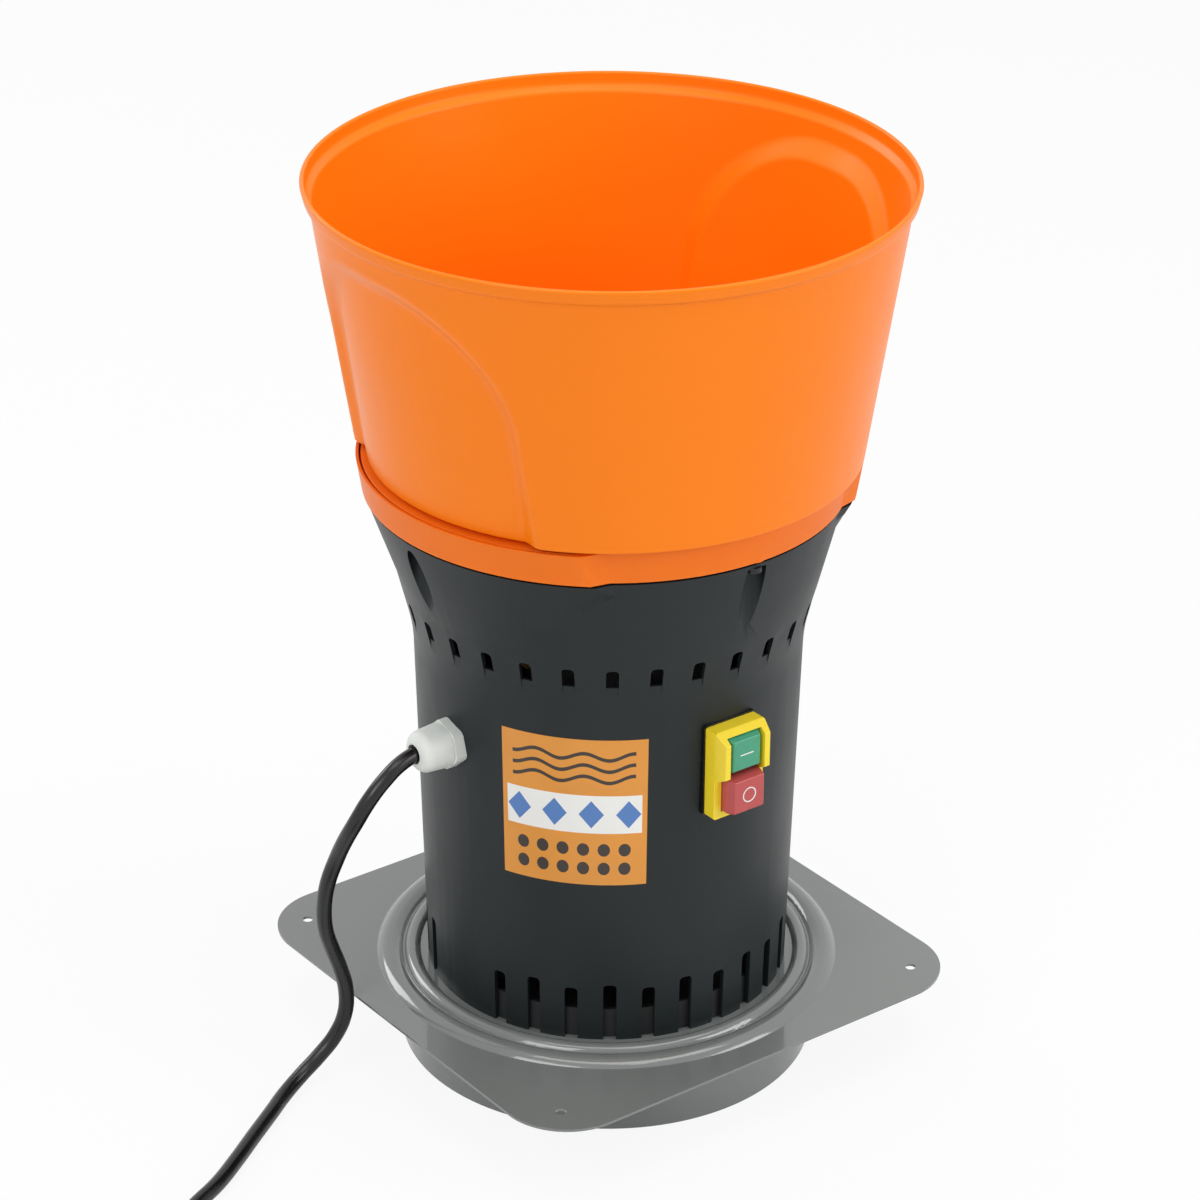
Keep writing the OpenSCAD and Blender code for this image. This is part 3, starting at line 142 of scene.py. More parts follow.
# %% Light
SKY_LIGHT = 0.45
SKY_MIRRORED = 0.9
MILL_MIDDLE = Vector((0, 0, 0.28))
LAMPS = [  # name, place, size in metres, power in watts
    ("key_lamp", (-2.4, -0.9, 2.1), 1.5, 27),
    ("fill_lamp", (1.5, -2.2, 1.5), 1.5, 28),
    ("top_lamp", (0.1, -0.2, 2.6), 1.8, 24),
    ("back_lamp", (-0.6, 2.7, 1.6), 1.2, 16),
]

world = bpy.data.worlds.new("studio")
scene.world = world
world.use_nodes = True
sky = world.node_tree
sky.nodes["Background"].inputs["Color"].default_value = (1, 1, 1, 1)
sky_rays = sky.nodes.new("ShaderNodeLightPath")
sky_level = sky.nodes.new("ShaderNodeMapRange")
sky_level.inputs["To Min"].default_value = SKY_LIGHT
sky_level.inputs["To Max"].default_value = SKY_MIRRORED
sky.links.new(sky_rays.outputs["Is Glossy Ray"], sky_level.inputs["Value"])
sky.links.new(sky_level.outputs["Result"], sky.nodes["Background"].inputs["Strength"])

for lamp_name, lamp_place, lamp_size, power in LAMPS:
    bpy.ops.object.light_add(type="AREA", location=lamp_place)
    lamp = bpy.context.object
    lamp.name = lamp_name
    lamp.data.shape = "SQUARE"
    lamp.data.size = lamp_size
    lamp.data.energy = power
    aim(lamp, Vector(lamp_place), MILL_MIDDLE)

# %% [markdown]
# ## Shared surface effects
# Moulded plastic is never one flat value. It has a fine grain from the mould, cloudy areas that are a
# little shinier, and slight changes of colour. Each of these effects is one node group. A material
# places the group and gives it its own scale and depth.

# %% Node groups for grain and clouding
VECTOR, NUMBER, COLOR = "NodeSocketVector", "NodeSocketFloat", "NodeSocketColor"
GRAIN_DETAIL = 2
CLOUD_DETAIL = 4
CLOUD_FROM, CLOUD_TO = 0.3, 0.7


def new_group(name, inputs, outputs):
    """A shader node group with named sockets; inputs are (socket, type, value)."""
    group = bpy.data.node_groups.new(name, "ShaderNodeTree")
    for socket, kind, value in inputs:
        made = group.interface.new_socket(socket, in_out="INPUT", socket_type=kind)
        if value is not None:
            made.default_value = value
    for socket, kind in outputs:
        group.interface.new_socket(socket, in_out="OUTPUT", socket_type=kind)
    return group, group.nodes.new("NodeGroupInput"), group.nodes.new("NodeGroupOutput")


def add_noise(group, entry, detail):
    """A noise texture that reads the group's own vector and scale."""
    noise = group.nodes.new("ShaderNodeTexNoise")
    noise.inputs["Detail"].default_value = detail
    for socket in ("Vector", "Scale"):
        group.links.new(entry.outputs[socket], noise.inputs[socket])
    return noise


mould_grain, grain_in, grain_out = new_group(
    "mould_grain", [("Vector", VECTOR, None), ("Scale", NUMBER, 900.0)], [("Height", NUMBER)],
)
grain_noise = add_noise(mould_grain, grain_in, GRAIN_DETAIL)
mould_grain.links.new(grain_noise.outputs[0], grain_out.inputs["Height"])

clouding, cloud_in, cloud_out = new_group(
    "clouding",
    [
        ("Vector", VECTOR, None), ("Scale", NUMBER, 14.0), ("Low", NUMBER, 0.3), ("High", NUMBER, 0.4),
        ("Shade A", COLOR, (0.5, 0.5, 0.5, 1)), ("Shade B", COLOR, (0.6, 0.6, 0.6, 1)),
    ],
    [("Color", COLOR), ("Roughness", NUMBER)],
)
cloud_noise = add_noise(clouding, cloud_in, CLOUD_DETAIL)
level = clouding.nodes.new("ShaderNodeMapRange")
level.inputs["From Min"].default_value = CLOUD_FROM
level.inputs["From Max"].default_value = CLOUD_TO
clouding.links.new(cloud_noise.outputs[0], level.inputs["Value"])
clouding.links.new(cloud_in.outputs["Low"], level.inputs["To Min"])
clouding.links.new(cloud_in.outputs["High"], level.inputs["To Max"])
shade = clouding.nodes.new("ShaderNodeMix")
shade.data_type = "RGBA"
clouding.links.new(cloud_noise.outputs[0], shade.inputs["Factor"])
clouding.links.new(cloud_in.outputs["Shade A"], shade.inputs["A"])
clouding.links.new(cloud_in.outputs["Shade B"], shade.inputs["B"])
clouding.links.new(shade.outputs["Result"], cloud_out.inputs["Color"])
clouding.links.new(level.outputs["Result"], cloud_out.inputs["Roughness"])
print("groups", [g.name for g in bpy.data.node_groups])

# %% [markdown]
# ## A recipe for finishes
# Every finish on the mill follows the same recipe: two close shades clouded together, a roughness that
# wanders a little, and a grain as bump. Plastic, paint, rubber and metal differ only in their numbers,
# so one function builds them all.

# %% Finish recipe
COAT_ROUGH = 0.03
GRAIN_HEIGHT = 0.4 * MM


def srgb(red, green, blue):
    """A colour as seen on screen, from 0 to 255, as the linear colour that shaders use."""
    def linear(c):
        c /= 255
        return c / 12.92 if c <= 0.04045 else ((c + 0.055) / 1.055) ** 2.4
    return (linear(red), linear(green), linear(blue), 1)


def scaled(color, k):
    """A darker or lighter shade of a colour."""
    return (color[0] * k, color[1] * k, color[2] * k, 1)


def finish_material(name, color, rough, spread, cloud, grain, depth, metallic=0, coat=0, variation=0.08,
                    shine=0.5):
    """A finish with clouded colour and roughness and a fine grain."""
    material = bpy.data.materials.new(name)
    material.use_nodes = True
    tree = material.node_tree
    shader = tree.nodes["Principled BSDF"]
    shader.inputs["Metallic"].default_value = metallic
    shader.inputs["Specular IOR Level"].default_value = shine
    shader.inputs["Coat Weight"].default_value = coat
    shader.inputs["Coat Roughness"].default_value = COAT_ROUGH
    where = tree.nodes.new("ShaderNodeTexCoord")
    clouds = tree.nodes.new("ShaderNodeGroup")
    clouds.node_tree = clouding
    clouds.inputs["Scale"].default_value = cloud
    clouds.inputs["Low"].default_value = rough - spread
    clouds.inputs["High"].default_value = rough + spread
    clouds.inputs["Shade A"].default_value = scaled(color, 1 - variation)
    clouds.inputs["Shade B"].default_value = scaled(color, 1 + variation)
    tree.links.new(where.outputs["Object"], clouds.inputs["Vector"])
    tree.links.new(clouds.outputs["Color"], shader.inputs["Base Color"])
    tree.links.new(clouds.outputs["Roughness"], shader.inputs["Roughness"])
    texture = tree.nodes.new("ShaderNodeGroup")
    texture.node_tree = mould_grain
    texture.inputs["Scale"].default_value = grain
    tree.links.new(where.outputs["Object"], texture.inputs["Vector"])
    bump = tree.nodes.new("ShaderNodeBump")
    bump.inputs["Strength"].default_value = depth
    bump.inputs["Distance"].default_value = GRAIN_HEIGHT
    tree.links.new(texture.outputs["Height"], bump.inputs["Height"])
    tree.links.new(bump.outputs["Normal"], shader.inputs["Normal"])
    return material


print("recipe ready")

# %% [markdown]
# ## The mill's finishes
# The hopper and the ring are satin plastic, the body is a darker one with more grain, and the plate is
# painted under a clear gloss. The steel, copper and brass inside show only through the vents. The screws
# under the hopper sit in the shade of their channels, and that shade is painted into their colour: they
# are made much darker than steel.

# %% Finishes
# The plain numbers are: roughness, its spread, scale of the clouds, scale of the grain, depth of the grain.
finishes = {
    "hopper_orange": finish_material("hopper_plastic", srgb(255, 131, 11), 0.34, 0.05, 9, 700, 0.05,
                                     variation=0.03, shine=0.22),
    "ring_orange": finish_material("ring_plastic", srgb(244, 118, 18), 0.44, 0.05, 12, 900, 0.08,
                                   variation=0.04, shine=0.25),
    "body_black": finish_material("body_plastic", srgb(31, 37, 39), 0.42, 0.06, 10, 1100, 0.14,
                                  variation=0.08, shine=0.28),
    "plate_metal": finish_material("plate_paint", srgb(118, 122, 120), 0.16, 0.04, 16, 350, 0.04,
                                   coat=1, variation=0.04),
    "inner_plastic": finish_material("inner_plastic", srgb(34, 35, 37), 0.55, 0.08, 20, 900, 0.15),
    "bezel_yellow": finish_material("bezel_plastic", srgb(250, 222, 44), 0.3, 0.05, 30, 900, 0.05,
                                    variation=0.04),
    "start_green": finish_material("start_plastic", srgb(66, 158, 122), 0.28, 0.05, 40, 900, 0.05,
                                   variation=0.05),
    "stop_red": finish_material("stop_plastic", srgb(188, 76, 76), 0.28, 0.05, 40, 900, 0.05,
                                variation=0.05),
    "gland_grey": finish_material("gland_plastic", srgb(232, 236, 231), 0.42, 0.05, 40, 800, 0.08,
                                  variation=0.04),
    "steel": finish_material("bare_steel", srgb(172, 174, 176), 0.3, 0.08, 30, 500, 0.05, metallic=1),
    "screw_steel": finish_material("screw_steel", srgb(160, 162, 164), 0.34, 0.08, 60, 700, 0.06,
                                   metallic=1),
    "core_steel": finish_material("core_steel", srgb(96, 98, 102), 0.5, 0.1, 40, 700, 0.1, metallic=0.8),
    "bracket_metal": finish_material("cast_bracket", srgb(184, 186, 188), 0.48, 0.08, 30, 420, 0.2,
                                     metallic=1),
    "copper": finish_material("copper_wire", srgb(190, 112, 60), 0.34, 0.08, 60, 900, 0.1, metallic=1),
    "brass": finish_material("brass_sheet", srgb(206, 176, 98), 0.3, 0.08, 40, 700, 0.05, metallic=1),
    "black_rubber": finish_material("cord_rubber", srgb(14, 14, 15), 0.26, 0.06, 60, 1300, 0.06),
}
for part in frame["record"]["subparts"]:
    node = nodes[part["node"]]
    node.data.materials.clear()
    node.data.materials.append(finishes[part["material_slot"]])
# Painted shade: the ring screws get a dark steel colour that stands for the shade of their channels.
shade_painted_screw = finish_material("screw_painted_shade", srgb(52, 54, 57), 0.42, 0.08, 60, 700, 0.06, metallic=0.7)
nodes["ring_screws"].data.materials[0] = shade_painted_screw
print("finishes", len(finishes))

# %% [markdown]
# ## The mains cord
# The cord leaves the gland, bends down beside the plate and runs over the floor. The picture shows only
# the first part. The rest lies in a tied coil just outside the view. A curve with a round bevel is the
# natural way: one spline for the whole length, through the same points as the CAD route.

# %% Cord
CORD_D = 9 * MM
ROUTE_MM = [
    (-112, 0, 219), (-122, 0, 219), (-131, 0, 219), (-142.6, -0.7, 216.6), (-154, -1.5, 210.4),
    (-164, -0.4, 200.1), (-170.6, 3.5, 186.6), (-173, 10.7, 172.9), (-173.8, 18.4, 158.3),
    (-176.9, 23.5, 141.4), (-176.9, 28, 123.7), (-174, 31.9, 106.1), (-167.9, 35.6, 90),
    (-161.1, 38.2, 73.1), (-156.6, 39.4, 55.5), (-157.8, 39.3, 40.5), (-163.8, 40.9, 26.9),
    (-174.1, 42.5, 16.2), (-187.1, 41.3, 9), (-202.9, 35, 5), (-219, 24.2, 4.6), (-239.1, 10.7, 4.5),
    (-259.5, -3.4, 4.5), (-280.4, -16.7, 4.5), (-303.1, -27.8, 4.5), (-324, -41, 4.5), (-344, -54, 4.9),
]
COIL_MIDDLE = Vector((-340, -116, 0)) * MM
COIL_R = 55 * MM
COIL_TURNS = 3.25
COIL_HEADING = math.radians(212)
COIL_PITCH = CORD_D + 1 * MM
COIL_LIFT = CORD_D + 0.8 * MM
COIL_LOW = CORD_D / 2 + 1.2 * MM
CLIMB_TURNS = 0.5
CLIMB_FROM = (COIL_TURNS - CLIMB_TURNS) / 2
PLUG_HEADING = COIL_HEADING + 2 * math.pi * COIL_TURNS
STEPS_PER_TURN = 24
SECTION_STEPS = 5
LENGTH_STEPS = 5


def ease(k):
    """From 0 to 1 along half a cosine wave."""
    return (1 - math.cos(math.pi * k)) / 2


def heading(angle):
    """A level direction."""
    return Vector((math.cos(angle), math.sin(angle), 0))


def coil_point(turns):
    """Place on the coil: it spirals in, climbs a layer as it reverses, and spirals out."""
    radius = COIL_R - COIL_PITCH * min(turns, COIL_TURNS - turns)
    climb = min(1, max(0, (turns - CLIMB_FROM) / CLIMB_TURNS))
    angle = COIL_HEADING - math.pi / 2 + 2 * math.pi * turns
    return COIL_MIDDLE + heading(angle) * radius + Vector((0, 0, COIL_LOW + COIL_LIFT * ease(climb)))


coil_steps = round(COIL_TURNS * STEPS_PER_TURN)
loops = [coil_point(i * COIL_TURNS / coil_steps) for i in range(coil_steps + 1)]
coil_entry = loops[0] - CORD_D * heading(COIL_HEADING)
coil_exit = loops[-1] + CORD_D * heading(PLUG_HEADING)
cord_line = [Vector(p) * MM for p in ROUTE_MM] + [coil_entry] + loops + [coil_exit]

bpy.ops.curve.primitive_bezier_curve_add()
cord = bpy.context.object
cord.name = "mains_lead"
lead = cord.data
lead.splines.clear()
spline = lead.splines.new("BEZIER")
spline.bezier_points.add(len(cord_line) - 1)
for point, place in zip(spline.bezier_points, cord_line):
    point.co = place
    point.handle_left_type = point.handle_right_type = "AUTO"
lead.dimensions = "3D"
lead.bevel_depth = CORD_D / 2
lead.bevel_resolution = SECTION_STEPS
lead.resolution_u = LENGTH_STEPS
lead.use_fill_caps = True
lead.materials.append(finishes["black_rubber"])
cord_length = sum((b - a).length for a, b in zip(cord_line, cord_line[1:]))
print("cord", round(cord_length, 3), "m")

# %% [markdown]
# ## Rings and lofts
# Some pieces of the mill are round or nearly round: the hopper, the plug, the ring on a button. By hand one
# would add a circle, extrude its edge upwards and scale it, again and again. This helper does the same
# with the operators, from a list of heights and half sizes. Two smaller helpers finish a new piece and give
# the points of an arc.

# %% A loft from rings
SAME_POINT = 0.01 * MM


def loft(name, sections, vertices, closed_ends=True):
    """Extrudes a circle through sections of (height, half width, half depth)."""
    bpy.ops.object.select_all(action="DESELECT")
    bpy.ops.mesh.primitive_circle_add(vertices=vertices, radius=1, fill_type="NOTHING")
    piece = bpy.context.object
    piece.name = name
    bpy.ops.object.mode_set(mode="EDIT")
    bpy.ops.mesh.select_all(action="SELECT")
    z, wide, deep = sections[0]
    bpy.ops.transform.resize(value=(wide, deep, 1))
    bpy.ops.transform.translate(value=(0, 0, z))
    if closed_ends:
        bpy.ops.mesh.edge_face_add()
        bpy.ops.mesh.select_all(action="SELECT")
        bpy.ops.mesh.select_mode(type="EDGE")
        bpy.ops.mesh.region_to_loop()
    for next_z, next_wide, next_deep in sections[1:]:
        bpy.ops.mesh.extrude_edges_move(TRANSFORM_OT_translate={"value": (0, 0, next_z - z)})
        bpy.ops.transform.resize(value=(next_wide / wide, next_deep / deep, 1))
        z, wide, deep = next_z, next_wide, next_deep
    if closed_ends:
        bpy.ops.mesh.edge_face_add()
    bpy.ops.mesh.select_all(action="SELECT")
    bpy.ops.mesh.remove_doubles(threshold=SAME_POINT)
    bpy.ops.mesh.normals_make_consistent(inside=False)
    bpy.ops.mesh.select_mode(type="VERT")
    bpy.ops.object.mode_set(mode="OBJECT")
    return piece


def settle(piece, body, slot, *stands_for, sharp=35, finish=None):
    """Applies the piece's place, smooths it, gives it its finish and lets it ride on a body."""
    bpy.ops.object.select_all(action="DESELECT")
    piece.select_set(True)
    bpy.context.view_layer.objects.active = piece
    bpy.ops.object.transform_apply(location=True, rotation=True, scale=True)
    bpy.ops.object.shade_smooth_by_angle(angle=math.radians(sharp))
    piece.data.materials.clear()
    piece.data.materials.append(finish or finishes[slot])
    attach(piece, body)
    if stands_for:
        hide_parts(*stands_for)


def arc_points(centre, radius, start, stop, steps):
    """Points of an arc in the plane of radius and height; angles in degrees."""
    angles = [math.radians(start + (stop - start) * i / steps) for i in range(steps + 1)]
    return [(centre[0] + radius * math.cos(a), centre[1] + radius * math.sin(a)) for a in angles]


print("helpers ready")

# %% [markdown]
# ## The plug
# The plug is a plain moulded one with two round pins: a ribbed sleeve that thickens into an oval grip.
# Such a plug is cast on to the cord in a mould of two halves. A loft with ellipses gives it, since each of
# its sections is an ellipse, and the ribs are only sections that swell and shrink.

# %% Plug
RELIEF_L = 24 * MM
PLUG_L = 40 * MM
SHOULDER_L = 15 * MM
BORE_R = 4.7 * MM
SLEEVE_R = 5.7 * MM
SLEEVE_GROWS = 2.7 * MM
RIB_SWELL = 0.5 * MM
SHOULDER_R = 9 * MM
PLUG_HIGH = COIL_LOW + COIL_LIFT
GRIP_R = PLUG_HIGH - 0.1 * MM
GRIP_HALF_W = 19 * MM
RIBS = 5
PLUG_VERTICES = 48
RIB_FORM = [(0.1, 0), (0.25, 1), (0.6, 1), (0.75, 0), (0.95, 0)]  # place in the rib, share of its swell
SHOULDER_STEPS = [0, 0.1, 0.25, 0.4, 0.55, 0.7, 0.85, 1]
GRIP_FORM = [  # place along the plug, millimetres that the grip shrinks there
    (0.6, 0), (0.68, 0.9), (0.76, 1.2), (0.84, 0.9), (0.92, 0), (0.97, 0.2), (0.99, 0.7), (1, 1.8),
]

plug_sections = [(0, BORE_R, BORE_R), (0, SLEEVE_R, SLEEVE_R)]
for i in range(RIBS):
    for step, swell in RIB_FORM:
        along = (i + step) / RIBS
        r = SLEEVE_R + SLEEVE_GROWS * along + RIB_SWELL * swell
        plug_sections.append((RELIEF_L * along, r, r))
for step in SHOULDER_STEPS:
    half_w, half_h = (SHOULDER_R + (grip - SHOULDER_R) * ease(step) for grip in (GRIP_HALF_W, GRIP_R))
    plug_sections.append((RELIEF_L + SHOULDER_L * step, half_w, half_h))
for step, shrink in GRIP_FORM:
    plug_sections.append((RELIEF_L + PLUG_L * step, GRIP_HALF_W - shrink * MM, GRIP_R - shrink * MM))
plug = loft("plug_moulding", plug_sections, PLUG_VERTICES)
plug.rotation_euler = (math.pi / 2, 0, PLUG_HEADING + math.pi / 2)
plug.location = (coil_exit.x, coil_exit.y, PLUG_HIGH)
settle(plug, "mill", "black_rubber", "plug_body")
print("plug", [round(x / MM) for x in plug.dimensions])

# %% [markdown]
# ## The tie
# A flat strap holds the spare cord together, as it comes out of the box. It is a band bent to a rounded
# rectangle round the bundle. One ring of edges is extruded to the strap's width and given its thickness
# afterwards, so both faces stay parallel all the way round.

# %% Tie
TIE_T = 0.8 * MM
TIE_W = 13 * MM
TIE_EDGE = 0.25 * MM
TIE_CLEAR = 0.9 * MM
TIE_LOW = 0.2 * MM
TIE_ROUNDNESS = 0.45
TIE_VERTICES = 64
TIE_TURN = COIL_HEADING + math.radians(150)
tie_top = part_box("cord_tie")[1].z
tie_in = COIL_R - COIL_PITCH * COIL_TURNS / 2 - CORD_D / 2 - TIE_CLEAR
tie_out = COIL_R + CORD_D / 2 + TIE_CLEAR
tie_half_w = (tie_out - tie_in) / 2
tie_half_h = (tie_top - 2 * TIE_LOW) / 2


def squared(k):
    """A sine or cosine drawn out towards the side of a square."""
    return math.copysign(abs(k) ** TIE_ROUNDNESS, k)


bpy.ops.object.select_all(action="DESELECT")
bpy.ops.mesh.primitive_circle_add(vertices=TIE_VERTICES, radius=1, fill_type="NOTHING")
tie = bpy.context.object
tie.name = "coil_tie"
for vertex in tie.data.vertices:
    a = math.atan2(vertex.co.y, vertex.co.x)
    vertex.co.x = squared(math.cos(a)) * tie_half_w
    vertex.co.y = squared(math.sin(a)) * tie_half_h
bpy.ops.object.mode_set(mode="EDIT")
bpy.ops.mesh.select_all(action="SELECT")
bpy.ops.transform.translate(value=(0, 0, -TIE_W / 2))
bpy.ops.mesh.extrude_edges_move(TRANSFORM_OT_translate={"value": (0, 0, TIE_W)})
bpy.ops.mesh.select_all(action="SELECT")
bpy.ops.mesh.normals_make_consistent(inside=False)
bpy.ops.object.mode_set(mode="OBJECT")
thick = tie.modifiers.new("strap_thickness", "SOLIDIFY")
thick.thickness = TIE_T
thick.offset = -1
soft = tie.modifiers.new("strap_edges", "BEVEL")
soft.width = TIE_EDGE
soft.segments = 2
for modifier in list(tie.modifiers):
    bpy.ops.object.modifier_apply(modifier=modifier.name)
tie.rotation_euler = (math.pi / 2, 0, TIE_TURN)
tie.location = COIL_MIDDLE + heading(TIE_TURN) * (tie_in + tie_out) / 2
tie.location.z += tie_half_h + TIE_LOW
settle(tie, "mill", "inner_plastic", "cord_tie")
print("tie", [round(x / MM, 1) for x in tie.dimensions])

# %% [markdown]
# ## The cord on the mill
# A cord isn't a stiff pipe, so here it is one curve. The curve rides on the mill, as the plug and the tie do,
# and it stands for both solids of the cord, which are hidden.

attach(cord, "mill")
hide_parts("mains_cord", "cord_coil")
print("cord declared with", plug.name, "and", tie.name)

# %% [markdown]
# ## The hopper's wall
# The hopper is one moulding: a cone with a rim that flares out over a small ledge, and a foot that sits on
# the ring. Its section goes once round the wall, up the outside and down the inside, and the loft takes it
# round the axis. The rows lie closer together where the hand recesses will bend the wall.

# %% Hopper wall
SEAT_R = 114.5 * MM
FOOT_R = 129.3 * MM
LOW_R = 140.5 * MM
TOP_R = 161.8 * MM
WALL = 3 * MM
LIP_H = 9.8 * MM
RIM_T = 2.6 * MM
PROUD_EDGE_H = 2 * MM
EDGE_ROUND = 1.2 * MM
SEAT_T = 3 * MM
LOW_ROWS, TOP_ROWS = 24, 36
DENSE_FROM = 0.66
HOPPER_COLUMNS = 360
LIP_FORM = [  # share of the lip's reach, millimetres above its start
    (0.06, 0.5), (0.2, 1), (0.42, 1.6), (0.6, 2.2), (0.7, 3), (0.76, 4), (0.8, 5),
]
hopper_low, hopper_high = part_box("hopper_shell")
foot_z, rim_z, rim_r = hopper_low.z, hopper_high.z, hopper_high.x
lip_z = rim_z - LIP_H
wall_z = foot_z + PROUD_EDGE_H + EDGE_ROUND
inner_rim = rim_r - RIM_T
inner_top = TOP_R - WALL + 0.6 * MM


def wall_rows(r0, z0, r1, z1, shares):
    """Points on a straight stretch of the section, at shares of its length."""
    return [(r0 + (r1 - r0) * k, z0 + (z1 - z0) * k) for k in shares]


cone_shares = [DENSE_FROM * i / LOW_ROWS for i in range(LOW_ROWS)]
cone_shares += [DENSE_FROM + (1 - DENSE_FROM) * i / TOP_ROWS for i in range(TOP_ROWS + 1)]

# Up the outside: the foot with its small chamfer, the proud edge, the cone, the lip and the rim's round.
section = [(SEAT_R, foot_z), (FOOT_R - 0.6 * MM, foot_z), (FOOT_R, foot_z + 0.5 * MM)]
section += [(FOOT_R, foot_z + PROUD_EDGE_H)]
section += arc_points((LOW_R - EDGE_ROUND, wall_z), EDGE_ROUND, -90, 0, 4)
section += wall_rows(LOW_R, wall_z, TOP_R, lip_z, cone_shares[1:])
section += [(TOP_R + (rim_r - TOP_R) * out, lip_z + rise * MM) for out, rise in LIP_FORM]
section += wall_rows(*section[-1], rim_r, rim_z - RIM_T / 2, [1 / 2, 1])
section += arc_points((rim_r - RIM_T / 2, rim_z - RIM_T / 2), RIM_T / 2, 15, 165, 7)
# Down the inside: the rim's face, the ledge, the cone and the seat.
section += wall_rows(
    inner_rim, rim_z - 1.6 * MM, inner_rim - 0.5 * MM, rim_z - 6.8 * MM, [0, 1 / 3, 2 / 3, 1],
)
section += [(inner_rim - 0.8 * MM, rim_z - 7.4 * MM), (inner_top + 0.8 * MM, rim_z - 9.6 * MM)]
section += [(inner_top + 0.2 * MM, rim_z - 10.3 * MM)]
section += wall_rows(LOW_R - WALL, wall_z + WALL, inner_top, lip_z - 2 * MM, cone_shares[::-1])
section += [(FOOT_R - WALL + 1 * MM, wall_z + WALL - 1 * MM), (FOOT_R - WALL, wall_z + 1 * MM)]
section += [(FOOT_R - WALL, foot_z + SEAT_T), (SEAT_R, foot_z + SEAT_T), (SEAT_R, foot_z)]
hopper = loft("hopper_moulding", [(z, r, r) for r, z in section], HOPPER_COLUMNS, closed_ends=False)
print("hopper section", len(section), "points")

# %% [markdown]
# ## The hand recesses
# Two opposite arched recesses give the hands a hold to turn the hopper. They can't be lofted, so every point
# of the wall inside the arch is pushed towards the axis. The push grows along a sloped band, as on the real
# moulding. The band is crisper inside, where the mould's core is, than outside. The columns of the mesh are
# first drawn together round the legs of the arch, so that the band has enough points there.

# %% Hand recesses
RECESS_DEPTH = 6.5 * MM
RECESS_HALF_W = 86 * MM
RECESS_CORNER_R = 74 * MM
RECESS_RISE = 66 * MM
SLOPE_SIDE_W = 8.5 * MM
SLOPE_TOP_W = 13 * MM
INNER_SLOPE = 0.8
OUTER_STRAIGHT, INNER_STRAIGHT = 0.3, 0.8
LEG_TURN = math.radians(36)
LEGS = (LEG_TURN, -LEG_TURN, math.pi - LEG_TURN, math.pi + LEG_TURN)
LEG_SPREAD = 0.14
LEG_PULL = 0.55


def soft_ramp(k, straight):
    """From 0 to 1, straight in the middle and eased at both ends."""
    k = np.clip(k, 0, 1)
    return straight * k + (1 - straight) * k * k * (3 - 2 * k)


def recess_push(y, z, inner):
    """How far a point of the wall is pushed in, from its place in the recess's side view."""
    across = np.abs(y) - (RECESS_HALF_W - RECESS_CORNER_R)
    up = z - (foot_z + RECESS_RISE)
    round_part = np.hypot(np.maximum(across, 0), np.maximum(up, 0))
    inward = RECESS_CORNER_R - np.where(up > 0, round_part, across)
    climb = np.where(up > 0, np.maximum(up, 0) / np.maximum(round_part, 1e-9), 0)
    slope = SLOPE_SIDE_W + (SLOPE_TOP_W - SLOPE_SIDE_W) * climb**2
    slope *= np.where(inner, INNER_SLOPE, 1)
    return RECESS_DEPTH * soft_ramp(inward / slope, np.where(inner, INNER_STRAIGHT, OUTER_STRAIGHT))


def column_turn(a):
    """Draws the ring's columns together round the legs of the recesses."""
    offsets = [(a - leg + math.pi) % (2 * math.pi) - math.pi for leg in LEGS]
    return a - LEG_PULL * sum(math.exp(-((d / LEG_SPREAD) ** 2)) * d for d in offsets)


co = np.array([v.co for v in hopper.data.vertices], float)
radius = np.hypot(co[:, 0], co[:, 1])
turn = np.array([column_turn(a) for a in np.arctan2(co[:, 1], co[:, 0])])
cone_r = LOW_R + (TOP_R - LOW_R) * (co[:, 2] - wall_z) / (lip_z - wall_z)
push = recess_push(radius * np.sin(turn), co[:, 2], radius < cone_r - WALL / 2)
# The push ends at the foot's radius, and the foot and the seat stay where they are.
least = np.where(radius > FOOT_R - 0.5 * MM, FOOT_R, FOOT_R - WALL)
in_wall = (radius > FOOT_R - WALL - 0.1 * MM) & (co[:, 2] > foot_z + 1 * MM)
pushed = np.where(in_wall, np.maximum(np.minimum(radius, least), radius - push), radius)
co[:, 0] = pushed * np.cos(turn)
co[:, 1] = pushed * np.sin(turn)
hopper.data.vertices.foreach_set("co", co.ravel())
hopper.data.update()
settle(hopper, "hopper", "hopper_orange", "hopper_shell", sharp=50)
print("hopper", [round(x / MM, 1) for x in hopper.dimensions], len(hopper.data.polygons), "faces")

# %% [markdown]
# ## Soft edges on the CAD pieces
# A moulded or pressed edge is never quite sharp: a radius of a few tenths catches the light. The CAD
# solids keep their plain edges, so a bevel modifier rounds them here. Flat triangles are first joined to
# whole faces, so that the bevel finds real edges only.

# %% Edge bevels
FLAT_WITHIN = math.radians(0.4)
BEVEL_FROM = math.radians(32)


